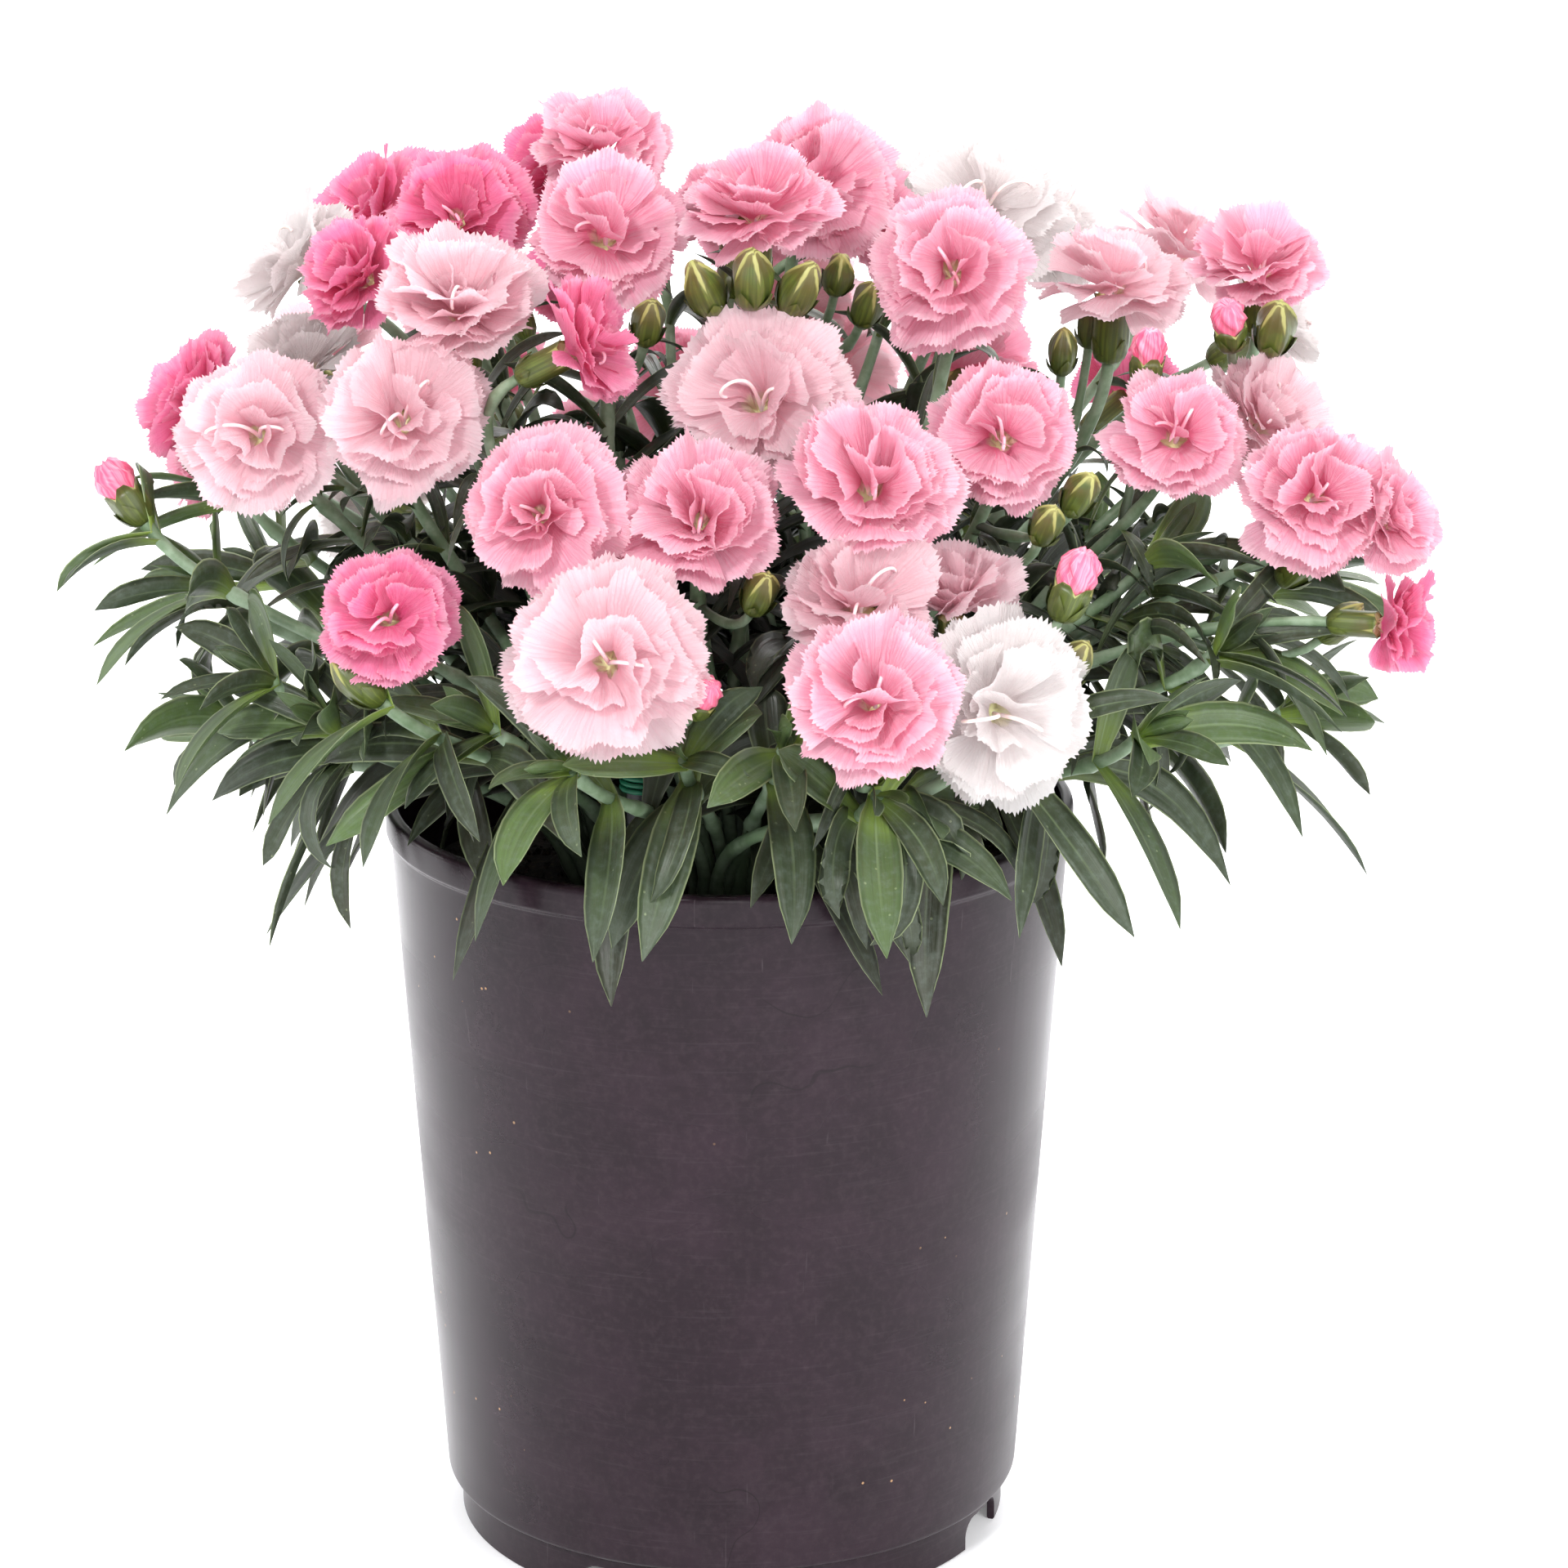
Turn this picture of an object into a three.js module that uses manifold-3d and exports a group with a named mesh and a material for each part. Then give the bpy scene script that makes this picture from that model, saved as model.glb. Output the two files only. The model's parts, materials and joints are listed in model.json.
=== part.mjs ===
// A flowering dianthus (garden pink) in the plastic pot it was grown in.
//
// Millimetres, +Z up. The origin is the centre of the pot's foot on the ground and the plant's
// best side faces -Y. A "turn" is a compass direction in degrees: 0 is -Y, 90 is +X, 180 is +Y.
// A "nod" is how far a bloom's face or a bud leans over from straight up, in degrees.

import * as THREE from 'three';
import { mergeVertices } from 'three/addons/utils/BufferGeometryUtils.js';
import Module from 'manifold-3d';

const wasm = await Module();
wasm.setup();

// ---------------------------------------------------------------------------------------------
// Driving dimensions
// ---------------------------------------------------------------------------------------------

const CLEAR = 0.35; // gap kept between pieces that touch
const BEND_CLEAR = 0.45; // gap that stems and leaves keep to the pieces they pass

const POT = {
  sides: 24,
  height: 186,
  rimRadius: 84.2,
  rimHeight: 8,
  rimSlope: 1.2,
  rimRound: 2,
  topRadius: 83,
  bottomRadius: 72.2,
  wall: 1.9,
  footRadius: 68.8,
  footHeight: 10.2,
  stepHeight: 12,
  floorUnder: 8.6,
  floorTop: 11,
};
const NOTCH = { turns: [66.5, 156.5, 246.5, 336.5], width: 20, height: 7.4, corner: 4.44, depth: 12 };
const SOIL = { edge: 163, crest: 166, gap: 2.4 * CLEAR };
const HOLE = { gap: 1.5 * CLEAR, top: 200 }; // a hole in the soil, cut up past the soil's crest
const STAKE = { at: [-20, -60], radius: 3.2, bottom: 45, top: 214, point: 12, bevel: 1, sides: 8 };
const TIE = { bottom: 204, turns: 3, pitch: 2.6, wire: 1.3, valley: 0.52, sides: 8 };

// Plants potted together, evenly round the pot, each with a crown that all its stems grow from.
const CLUMPS = 6;
const CROWN = { ring: 34, radius: 10.6, bottom: 148, top: 168, sides: 6 };

// Stems start in a crown on places like the seeds of a sunflower. Each takes the free place
// nearest to where it would start if the clump over the crown were made "share" of its size.
const ROOTS = { spread: 7.6, heart: 90, share: 0.12, level: 165.5, seedTurn: 137.508 };

// "climb" and "finish" are how long a stem keeps its first and last direction, as shares of the
// way to its end. "lean" is how far it leans out at first. Bows bend a stem sideways.
const STEM = { radius: 1.6, neck: 1.36, sides: 4, climb: 0.42, finish: 0.24, lean: 0.12 };
const BOWS = [0, 7, -7, 14, -14, 21, -21];
const STOPS = [0, 0.4, 0.75, 1]; // where along its path a stem has a ring of its section
const CALYX = { length: 16, belly: 4.3, bellyAt: 13, mouth: 4.6, socket: 11 };
const HEAD = 6; // from a calyx mouth up to the middle of its bloom
const TYPICAL_BLOOM = { wide: 38, least: 0.72, most: 1.15 };

// A double bloom has three whorls of petals over a bunch of claws. A whorl has a reach, a lift in
// degrees and a root ring, and its edge dips to "gap" between petals. Its marks are the corners
// of a petal's edge: [share of the petal's span, reach], of which the first is the dip.
const PETALS = 5;
const CLAW = { depth: 7, throat: 3.1, rise: 0.8 };
const WHORLS = {
  outer: { reach: 1, lift: 8, marks: [[0, 0.8], [0.22, 0.97], [0.5, 1], [0.78, 0.97]] },
  middle: { reach: 0.8, lift: 33, marks: [[0, 0.84], [0.3, 1], [0.7, 0.98]], root: 5, rise: 2.6 },
  inner: { reach: 0.5, lift: 56, marks: [[0, 0.82], [0.5, 1]], root: 3.2, rise: 4.4 },
};
const HEART = 6; // height of a bloom's innermost fold over the calyx mouth
const RUFFLE = { size: 0.06, tilt: 5, wave: 0.035, slip: 3 }; // how unlike petals are

// A leaf's stations are its section rings: [share of its length, share of its width]. It roots
// "below" its node, in a share of its stem, and "handle" and "shrink" give its arch.
const LEAF = { width: 10.2, keel: 1.5, below: 0.05, handle: 0.55, shrink: 0.35 };
const LONG_LEAF = [[0.34, 1], [0.72, 0.78]];
const SHORT_LEAF = [[0.45, 1]];
const FRONT = -60; // shoots that end further forward than this have long leaves

// A pair of leaves tries these in turn until it is free of its neighbours: [degrees, share].
const TURNS_TRIED = [
  [0, 1],
  [14, 1],
  [-14, 1],
  [28, 1],
  [-28, 1],
  [42, 0.9],
  [-42, 0.9],
  [65, 0.85],
  [90, 0.85],
  [0, 0.7],
  [20, 0.7],
  [-20, 0.7],
  [45, 0.6],
  [-45, 0.6],
];

// Pairs of leaves down a leafy shoot, from the youngest near its end to the oldest.
const PAIRS = { first: 0.97, reach: 0.6, rise: 44, riseLost: 26, youngLength: 0.82, youngDroop: 0.5 };

// The single pair of leaves on a flowering stem; stems that end behind "bareBehind" have none.
const STEM_PAIR = { share: 0.5, rise: 42, length: 44, width: 8.67, droop: 0.35, bareBehind: 60 };

// A bud's length, greatest radius and radius where its stalk joins; "upright" turns it upwards.
const BUD = { length: 15, radius: 4.2, foot: 2.2, waist: 0.2, upright: 0.8, sides: 4 };

// A leafy shoot ends in a spindle of folded young leaves, widest "waist" of the way along it.
const SHOOT = { radius: 1.6, sides: 3, spindle: 22, fold: 2.8, waist: 0.35, outward: 0.7 };

// ---------------------------------------------------------------------------------------------
// Finishes
// ---------------------------------------------------------------------------------------------

// Colour and roughness of each finish; none is metallic.
const FINISHES = {
  plastic: { color: 0x4a4347, roughness: 0.42 },
  soil: { color: 0x2a211b, roughness: 0.95 },
  stake: { color: 0x26242a, roughness: 0.4 },
  wire: { color: 0x1d6b4f, roughness: 0.35 },
  green: { color: 0x41603f, roughness: 0.55 },
  rose: { color: 0xf0709c, roughness: 0.6 },
  pink: { color: 0xf99bbb, roughness: 0.6 },
  blush: { color: 0xfac6d4, roughness: 0.6 },
  white: { color: 0xf6e8e7, roughness: 0.6 },
};

// ---------------------------------------------------------------------------------------------
// The plant's plan: every bloom, bud and leafy shoot where it grows
// ---------------------------------------------------------------------------------------------

// at is the middle of the bloom, wide its diameter and cup how much its petals still stand up.
// Blooms that share a node press into each other.
const BLOOMS = [
  { node: 'bloom_01', at: [-30, 20, 344], nod: 20, turn: 0, wide: 37, cup: 0, tint: 'pink' },
  { node: 'bloom_02', at: [-44, 44, 333], nod: 62, turn: -70, wide: 27, cup: 12, tint: 'rose' },
  { node: 'bloom_03', at: [-88, 40, 323], nod: 42, turn: -60, wide: 34, cup: 10, tint: 'rose' },
  { node: 'bloom_04', at: [-74, 76, 319], nod: 30, turn: -150, wide: 36, cup: 5, tint: 'white' },
  { node: 'bloom_05', at: [-104, 6, 317], nod: 55, turn: -85, wide: 34, cup: 5, tint: 'white' },
  { node: 'bloom_06', at: [-86, -20, 318], nod: 58, turn: -40, wide: 31, cup: 8, tint: 'rose' },
  { node: 'bloom_07', at: [-65, 6, 328], nod: 48, turn: -15, wide: 35, cup: 8, tint: 'rose' },
  { node: 'bloom_08', at: [-60, -42, 315], nod: 24, turn: 5, wide: 37, cup: 14, tint: 'blush' },
  { node: 'bloom_09', at: [-28, -20, 328], nod: 45, turn: 5, wide: 38, cup: 4, tint: 'pink' },
  { node: 'bloom_10', at: [-32, -56, 308], nod: 62, turn: 75, wide: 31, cup: 14, tint: 'rose' },
  { node: 'bloom_11', at: [7, -34, 337], nod: 13, turn: 10, wide: 37, cup: 0, tint: 'pink' },
  { node: 'bloom_12', at: [22, 6, 335], nod: 58, turn: 14, wide: 39, cup: 4, tint: 'pink' },
  { node: 'bloom_13', at: [63, 46, 324], nod: 38, turn: 15, wide: 44, cup: 0, tint: 'white' },
  { node: 'bloom_14', at: [52, -30, 321], nod: 64, turn: -5, wide: 39, cup: 0, tint: 'pink' },
  { node: 'bloom_15', at: [44, 94, 316], nod: 46, turn: 170, wide: 34, cup: 5, tint: 'white' },
  { node: 'bloom_13', at: [80, 65, 315], nod: 53, turn: 67, wide: 36, cup: 0, tint: 'white' },
  { node: 'bloom_17', at: [93, 14, 312], nod: 13, turn: 10, wide: 40, cup: 0, tint: 'blush' },
  { node: 'bloom_18', at: [115, 74, 309], nod: 30, turn: 95, wide: 36, cup: 0, tint: 'blush' },
  { node: 'bloom_19', at: [127, 4, 317], nod: 20, turn: 0, wide: 36, cup: 4, tint: 'pink' },
  { node: 'bloom_20', at: [136, 44, 293], nod: 66, turn: 100, wide: 34, cup: 0, tint: 'white' },
  { node: 'bloom_21', at: [8, -52, 296], nod: 42, turn: -3, wide: 45, cup: 0, tint: 'blush' },
  { node: 'bloom_22', at: [33, -84, 283], nod: 42, turn: 8, wide: 39, cup: 6, tint: 'pink' },
  { node: 'bloom_23', at: [63, -62, 289], nod: 50, turn: 3, wide: 37, cup: 4, tint: 'pink' },
  { node: 'bloom_24', at: [104, -46, 286], nod: 48, turn: 10, wide: 36, cup: 4, tint: 'pink' },
  { node: 'bloom_25', at: [127, -15, 283], nod: 42, turn: 60, wide: 36, cup: 6, tint: 'blush' },
  { node: 'bloom_26', at: [136, -50, 272], nod: 62, turn: 18, wide: 36, cup: 4, tint: 'pink' },
  { node: 'bloom_26', at: [154, -47, 266], nod: 66, turn: 50, wide: 29, cup: 8, tint: 'pink' },
  { node: 'bloom_28', at: [153, -61, 244], nod: 88, turn: 68, wide: 22, cup: 20, tint: 'rose' },
  { node: 'bloom_29', at: [-127, -10, 286], nod: 62, turn: -80, wide: 32, cup: 8, tint: 'rose' },
  { node: 'bloom_30', at: [-108, -44, 286], nod: 62, turn: -5, wide: 40, cup: 0, tint: 'blush' },
  { node: 'bloom_31', at: [-102, 6, 292], nod: 32, turn: -140, wide: 32, cup: 6, tint: 'white' },
  { node: 'bloom_32', at: [-73, -56, 292], nod: 52, turn: 8, wide: 40, cup: 4, tint: 'blush' },
  { node: 'bloom_33', at: [-41, -88, 277], nod: 64, turn: -8, wide: 39, cup: 0, tint: 'pink' },
  { node: 'bloom_34', at: [-5, -84, 275], nod: 50, turn: 5, wide: 38, cup: 2, tint: 'pink' },
  { node: 'bloom_35', at: [-25, -76, 258], nod: 42, turn: 5, wide: 29, cup: 14, tint: 'rose' },
  { node: 'bloom_36', at: [-25, -112, 249], nod: 72, turn: 0, wide: 46, cup: -4, tint: 'blush' },
  { node: 'bloom_37', at: [-75, -84, 252], nod: 60, turn: 3, wide: 33, cup: 2, tint: 'rose' },
  { node: 'bloom_38', at: [30, -95, 258], nod: 40, turn: 0, wide: 39, cup: 2, tint: 'blush' },
  { node: 'bloom_39', at: [33, -124, 244], nod: 54, turn: 0, wide: 39, cup: 2, tint: 'pink' },
  { node: 'bloom_40', at: [61, -108, 236], nod: 76, turn: 14, wide: 45, cup: -4, tint: 'white' },
  { node: 'bloom_38', at: [51, -81, 255], nod: 2, turn: -9, wide: 28, cup: 22, tint: 'blush' },
  { node: 'bloom_42', at: [36, 26, 322], nod: 66, turn: 60, wide: 31, cup: 6, tint: 'pink' },
  { node: 'bloom_43', at: [2, 58, 318], nod: 34, turn: 172, wide: 38, cup: 2, tint: 'pink' },
  { node: 'bloom_44', at: [-38, 92, 300], nod: 50, turn: -162, wide: 38, cup: 4, tint: 'rose' },
  { node: 'bloom_45', at: [14, 100, 292], nod: 52, turn: 176, wide: 40, cup: 0, tint: 'blush' },
  { node: 'bloom_46', at: [-12, 122, 262], nod: 68, turn: -176, wide: 37, cup: 2, tint: 'pink' },
  { node: 'bloom_47', at: [-66, 108, 268], nod: 64, turn: -150, wide: 38, cup: 2, tint: 'pink' },
  { node: 'bloom_48', at: [62, 108, 270], nod: 62, turn: 152, wide: 38, cup: 4, tint: 'pink' },
  { node: 'bloom_49', at: [-106, 74, 280], nod: 58, turn: -125, wide: 37, cup: 0, tint: 'blush' },
  { node: 'bloom_50', at: [104, 88, 268], nod: 64, turn: 130, wide: 34, cup: 4, tint: 'rose' },
  { node: 'bloom_51', at: [-128, 36, 264], nod: 70, turn: -105, wide: 35, cup: 2, tint: 'pink' },
  { node: 'bloom_45', at: [26, 115, 271], nod: 64, turn: 165, wide: 38, cup: 2, tint: 'blush' },
  { node: 'bloom_46', at: [-38, 124, 246], nod: 76, turn: -166, wide: 34, cup: 4, tint: 'pink' },
  { node: 'bloom_54', at: [-92, 98, 238], nod: 76, turn: -140, wide: 36, cup: 2, tint: 'white' },
  { node: 'bloom_55', at: [70, 118, 234], nod: 76, turn: 150, wide: 38, cup: 0, tint: 'white' },
];

// Each bud grows from the stem of bloom number "of" (counted from 1), "up" of the way along it.
const BUDS = [
  { of: 11, up: 0.93, at: [-5, -44, 319], size: 1.05 },
  { of: 11, up: 0.92, at: [6, -48, 322], size: 1.1 },
  { of: 11, up: 0.95, at: [17, -44, 319], size: 1.05 },
  { of: 12, up: 0.72, at: [26, -20, 318], size: 0.85 },
  { of: 12, up: 0.7, at: [33, -14, 310], size: 0.95 },
  { of: 9, up: 0.74, at: [-18, -32, 309], size: 0.9 },
  { of: 23, up: 0.74, at: [72, -79, 272], size: 0.85 },
  { of: 23, up: 0.8, at: [80, -70, 277], size: 0.9 },
  { of: 19, up: 0.93, at: [129, -12, 304], size: 1.1 },
  { of: 19, up: 0.9, at: [118, -14, 304], size: 0.9 },
  { of: 17, up: 0.66, at: [80, 4, 295], size: 0.8 },
  { of: 17, up: 0.72, at: [88, 24, 298], size: 0.8 },
  { of: 24, up: 0.8, at: [98, -26, 298], size: 0.9 },
  { of: 26, up: 0.74, at: [133, -42, 254], size: 1 },
  { of: 28, up: 0.7, at: [142, -50, 242], size: 0.85 },
  { of: 34, up: 0.78, at: [8, -86, 258], size: 0.9 },
  { of: 36, up: 0.74, at: [-5, -104, 238], size: 0.8 },
  { of: 39, up: 0.7, at: [33, -114, 226], size: 0.8 },
  { of: 40, up: 0.95, at: [77, -91, 260], size: 1.05 },
  { of: 40, up: 0.95, at: [77, -90, 242], size: 0.95 },
  { of: 44, up: 0.76, at: [-56, 96, 286], size: 0.95 },
  { of: 47, up: 0.76, at: [-82, 94, 262], size: 0.9 },
  { of: 48, up: 0.76, at: [80, 100, 256], size: 0.9 },
];

// A leafy shoot runs from its clump's crown to "tip". Its pairs of leaves are "long" at most,
// "pairs" of them, and the first pair spreads "spin" degrees round the shoot. "hang" is how far
// the oldest leaves bend down, as a share of their length. "bud" is the size of a bud at the
// shoot's end, or 0 where it ends in young leaves still folded together.
const SHOOTS = [
  { tip: [-138, -18, 258], pairs: 3, long: 34, spin: 10, hang: 0.5, bud: 1.05 },
  { tip: [-118, 10, 258], pairs: 3, long: 50, spin: 40, hang: 0.4, bud: 0 },
  { tip: [-127, 20, 234], pairs: 4, long: 47, spin: 0, hang: 0.5, bud: 0 },
  { tip: [-106, -45, 227], pairs: 4, long: 50, spin: 60, hang: 0.55, bud: 0 },
  { tip: [-118, 0, 203], pairs: 4, long: 50, spin: 25, hang: 0.5, bud: 0 },
  { tip: [-77, -84, 232], pairs: 4, long: 52, spin: 10, hang: 0.55, bud: 1.0 },
  { tip: [-91, -50, 217], pairs: 4, long: 54, spin: 80, hang: 0.6, bud: 0 },
  { tip: [-53, -80, 225], pairs: 3, long: 54, spin: 20, hang: 0.5, bud: 0 },
  { tip: [-34, -100, 221], pairs: 3, long: 48, spin: 60, hang: 0.5, bud: 0 },
  { tip: [-9, -92, 221], pairs: 4, long: 48, spin: 0, hang: 0.5, bud: 0 },
  { tip: [13, -92, 223], pairs: 3, long: 52, spin: 45, hang: 0.5, bud: 0 },
  { tip: [34, -106, 217], pairs: 4, long: 50, spin: 80, hang: 0.4, bud: 0 },
  { tip: [53, -98, 221], pairs: 4, long: 52, spin: 30, hang: 0.5, bud: 0 },
  { tip: [74, -90, 230], pairs: 3, long: 54, spin: 65, hang: 0.5, bud: 0 },
  { tip: [94, -72, 221], pairs: 4, long: 54, spin: 15, hang: 0.45, bud: 0 },
  { tip: [100, -30, 253], pairs: 3, long: 50, spin: 50, hang: 0.3, bud: 0 },
  { tip: [114, -50, 236], pairs: 4, long: 52, spin: 75, hang: 0.55, bud: 0 },
  { tip: [130, -20, 245], pairs: 4, long: 50, spin: 30, hang: 0.5, bud: 0 },
  { tip: [135, 0, 207], pairs: 4, long: 50, spin: 0, hang: 0.5, bud: 0 },
  { tip: [132, 40, 228], pairs: 3, long: 52, spin: 50, hang: 0.5, bud: 0 },
  { tip: [-116, 66, 224], pairs: 3, long: 62, spin: 0, hang: 0.5, bud: 0 },
  { tip: [-66, 92, 214], pairs: 3, long: 52, spin: 0, hang: 0.45, bud: 0 },
  { tip: [-26, 102, 212], pairs: 3, long: 50, spin: 40, hang: 0.5, bud: 0 },
  { tip: [14, 107, 210], pairs: 3, long: 50, spin: 75, hang: 0.5, bud: 0 },
  { tip: [52, 96, 214], pairs: 3, long: 52, spin: 20, hang: 0.45, bud: 0 },
  { tip: [90, 78, 220], pairs: 3, long: 54, spin: 60, hang: 0.5, bud: 0 },
];

// ---------------------------------------------------------------------------------------------
// Small mathematics
// ---------------------------------------------------------------------------------------------

const UP = new THREE.Vector3(0, 0, 1);
const rad = THREE.MathUtils.degToRad;
const SPAN = 360 / PETALS;

// A number from 0 to 1 that depends on its keys alone.
function chance(...keys) {
  let hash = 0x9e3779b9;
  for (const key of keys) {
    hash = Math.imul(hash ^ (key + 0x7f4a7c15), 0x85ebca6b);
    hash ^= hash >>> 13;
    hash = Math.imul(hash, 0xc2b2ae35);
    hash ^= hash >>> 16;
  }
  return (hash >>> 0) / 2 ** 32;
}

// A number from -size to size that depends on its keys alone.
function sway(size, ...keys) {
  return size * (2 * chance(...keys) - 1);
}

function vec(x, y, z) {
  return new THREE.Vector3(x, y, z);
}

function compass(turn, radius, z) {
  return vec(radius * Math.sin(rad(turn)), -radius * Math.cos(rad(turn)), z);
}

function facing(nod, turn) {
  return compass(turn, Math.sin(rad(nod)), Math.cos(rad(nod)));
}

// a + b * k
function along(a, b, k) {
  return a.clone().addScaledVector(b, k);
}

// A vector turned until it is square to an axis.
function squareTo(vector, axis) {
  return along(vector, axis, -vector.dot(axis)).normalize();
}

// The two directions across a bloom's or bud's face.
function acrossFace(normal, turn) {
  const side = compass(turn + 90, 1, 0);
  return [side, new THREE.Vector3().crossVectors(normal, side)];
}

// ---------------------------------------------------------------------------------------------
// Solids
// ---------------------------------------------------------------------------------------------

// Closed geometry with its shared vertices merged, as a solid that can be joined and cut.
function solidOf(geometry) {
  geometry.deleteAttribute('normal');
  geometry.deleteAttribute('uv');
  const welded = mergeVertices(geometry, 1e-4);
  const corners = welded.index.array;
  const faces = [];
  for (let i = 0; i < corners.length; i += 3) {
    const [a, b, c] = [corners[i], corners[i + 1], corners[i + 2]];
    if (a !== b && b !== c && c !== a) faces.push(a, b, c);
  }
  const mesh = new wasm.Mesh({
    numProp: 3,
    vertProperties: new Float32Array(welded.attributes.position.array),
    triVerts: new Uint32Array(faces),
  });
  return new wasm.Manifold(mesh);
}

// A solid from points and the triangles between them.
function solidFrom(points, faces) {
  const geometry = new THREE.BufferGeometry();
  geometry.setAttribute('position', new THREE.Float32BufferAttribute(points.flatMap((p) => p.toArray()), 3));
  geometry.setIndex(faces);
  return solidOf(geometry);
}

// The skin between two rings of points, of which either may be a single point.
function band(faces, low, high, wanted) {
  for (let i = 0; i < wanted; i++) {
    const j = (i + 1) % wanted;
    if (low.length === 1) {
      faces.push(low[0], high[j], high[i]);
    } else if (high.length === 1) {
      faces.push(low[i], low[j], high[0]);
    } else {
      faces.push(low[i], low[j], high[j], low[i], high[j], high[i]);
    }
  }
}

// A solid skinned over rings of points. Rings run anticlockwise seen from the last one.
function loft(rings) {
  const wanted = Math.max(...rings.map((ring) => ring.length));
  const points = rings.flat();
  const faces = [];
  let start = 0;
  const labels = rings.map((ring) => {
    const ringLabels = ring.map((_, i) => start + i);
    start += ring.length;
    return ringLabels;
  });
  for (let i = 1; i < labels.length; i++) {
    band(faces, labels[i - 1], labels[i], wanted);
  }
  const first = labels[0];
  for (let i = 2; i < first.length; i++) faces.push(first[0], first[i], first[i - 1]);
  const last = labels[labels.length - 1];
  for (let i = 2; i < last.length; i++) faces.push(last[0], last[i - 1], last[i]);
  return solidFrom(points, faces);
}

// A solid of revolution about a vertical axis through (x, y), from its outline of [radius, z].
function turned(outline, sides, x, y) {
  const geometry = new THREE.LatheGeometry(outline.map(([r, z]) => new THREE.Vector2(r, z)), sides);
  geometry.rotateX(Math.PI / 2);
  geometry.translate(x, y, 0);
  return solidOf(geometry);
}

function fuse(solids) {
  return wasm.Manifold.union(solids);
}

// Solids fused into their outermost skin: a hollow sealed between them is filled.
function grownTogether(solids) {
  const shells = fuse(solids).decompose();
  return shells.reduce((widest, shell) => (shell.volume() > widest.volume() ? shell : widest));
}

// ---------------------------------------------------------------------------------------------
// Pot, soil, stake and tie
// ---------------------------------------------------------------------------------------------

function innerRadius(z) {
  const share = (z - POT.stepHeight) / (POT.height - POT.rimHeight - POT.stepHeight);
  return THREE.MathUtils.lerp(POT.bottomRadius, POT.topRadius, share) - POT.wall;
}

// A slot under the foot through which the pot drains, with rounded upper corners.
function footNotch(turn) {
  const half = NOTCH.width / 2;
  const { height, corner, depth } = NOTCH;
  const outline = new THREE.Shape();
  outline.moveTo(-half, -height);
  outline.lineTo(half, -height);
  outline.lineTo(half, height - corner);
  outline.quadraticCurveTo(half, height, half - corner, height);
  outline.lineTo(-half + corner, height);
  outline.quadraticCurveTo(-half, height, -half, height - corner);
  const geometry = new THREE.ExtrudeGeometry(outline, { depth, curveSegments: 2, bevelEnabled: false });
  geometry.rotateX(Math.PI / 2);
  geometry.translate(0, -(POT.footRadius - depth / 2), 0);
  geometry.rotateZ(rad(turn));
  return solidOf(geometry);
}

function makePot() {
  const rimFoot = POT.height - POT.rimHeight;
  const footInner = POT.footRadius - POT.wall;
  const shell = turned(
    [
      [0, POT.floorUnder],
      [footInner, POT.floorUnder],
      [footInner, 0],
      [POT.footRadius, 0],
      [POT.footRadius, POT.footHeight],
      [POT.bottomRadius, POT.stepHeight],
      [POT.topRadius, rimFoot],
      [POT.rimRadius, rimFoot + POT.rimSlope],
      [POT.rimRadius, POT.height - POT.rimRound],
      [POT.topRadius, POT.height],
      [POT.topRadius - POT.wall, POT.height],
      [innerRadius(POT.floorTop), POT.floorTop],
      [0, POT.floorTop],
    ],
    POT.sides,
    0,
    0,
  );
  return shell.subtract(fuse(NOTCH.turns.map(footNotch)));
}

function crownCentre(clump) {
  return compass((360 / CLUMPS) * clump, CROWN.ring, 0);
}

// A plain hole down into the soil.
function soilHole(radius, bottom, sides, x, y) {
  const wide = radius + HOLE.gap;
  const deep = bottom - CLEAR;
  return turned([[0, deep], [wide, deep], [wide, HOLE.top], [0, HOLE.top]], sides, x, y);
}

function makeSoil() {
  const bed = POT.floorTop + CLEAR;
  const ground = turned(
    [
      [0, bed],
      [innerRadius(bed) - SOIL.gap, bed],
      [innerRadius(SOIL.edge) - SOIL.gap, SOIL.edge],
      [0, SOIL.crest],
    ],
    POT.sides,
    0,
    0,
  );
  const holes = [soilHole(STAKE.radius, STAKE.bottom, STAKE.sides, ...STAKE.at)];
  for (let clump = 0; clump < CLUMPS; clump++) {
    const { x, y } = crownCentre(clump);
    holes.push(soilHole(CROWN.radius, CROWN.bottom, CROWN.sides, x, y));
  }
  return ground.subtract(fuse(holes));
}

// A round plastic stick, pointed at its foot, pushed into the soil near the front.
function makeStake() {
  const outline = [
    [0, STAKE.bottom],
    [STAKE.radius, STAKE.bottom + STAKE.point],
    [STAKE.radius, STAKE.top - STAKE.bevel],
    [STAKE.radius - STAKE.bevel, STAKE.top],
    [0, STAKE.top],
  ];
  return turned(outline, STAKE.sides, ...STAKE.at);
}

// Plastic-coated wire wound tight round the stake: the outside follows each turn of the wire.
function makeTie() {
  const inside = STAKE.radius + CLEAR;
  const outline = [[inside, TIE.bottom]];
  for (let turn = 0; turn < TIE.turns; turn++) {
    const z = TIE.bottom + turn * TIE.pitch;
    outline.push([inside + TIE.wire, z + 0.5 * TIE.pitch]);
    outline.push([inside + TIE.valley, z + TIE.pitch]);
  }
  outline.push([inside, TIE.bottom + TIE.turns * TIE.pitch], [inside, TIE.bottom]);
  return turned(outline, TIE.sides, ...STAKE.at);
}

// ---------------------------------------------------------------------------------------------
// Blooms
// ---------------------------------------------------------------------------------------------

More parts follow.
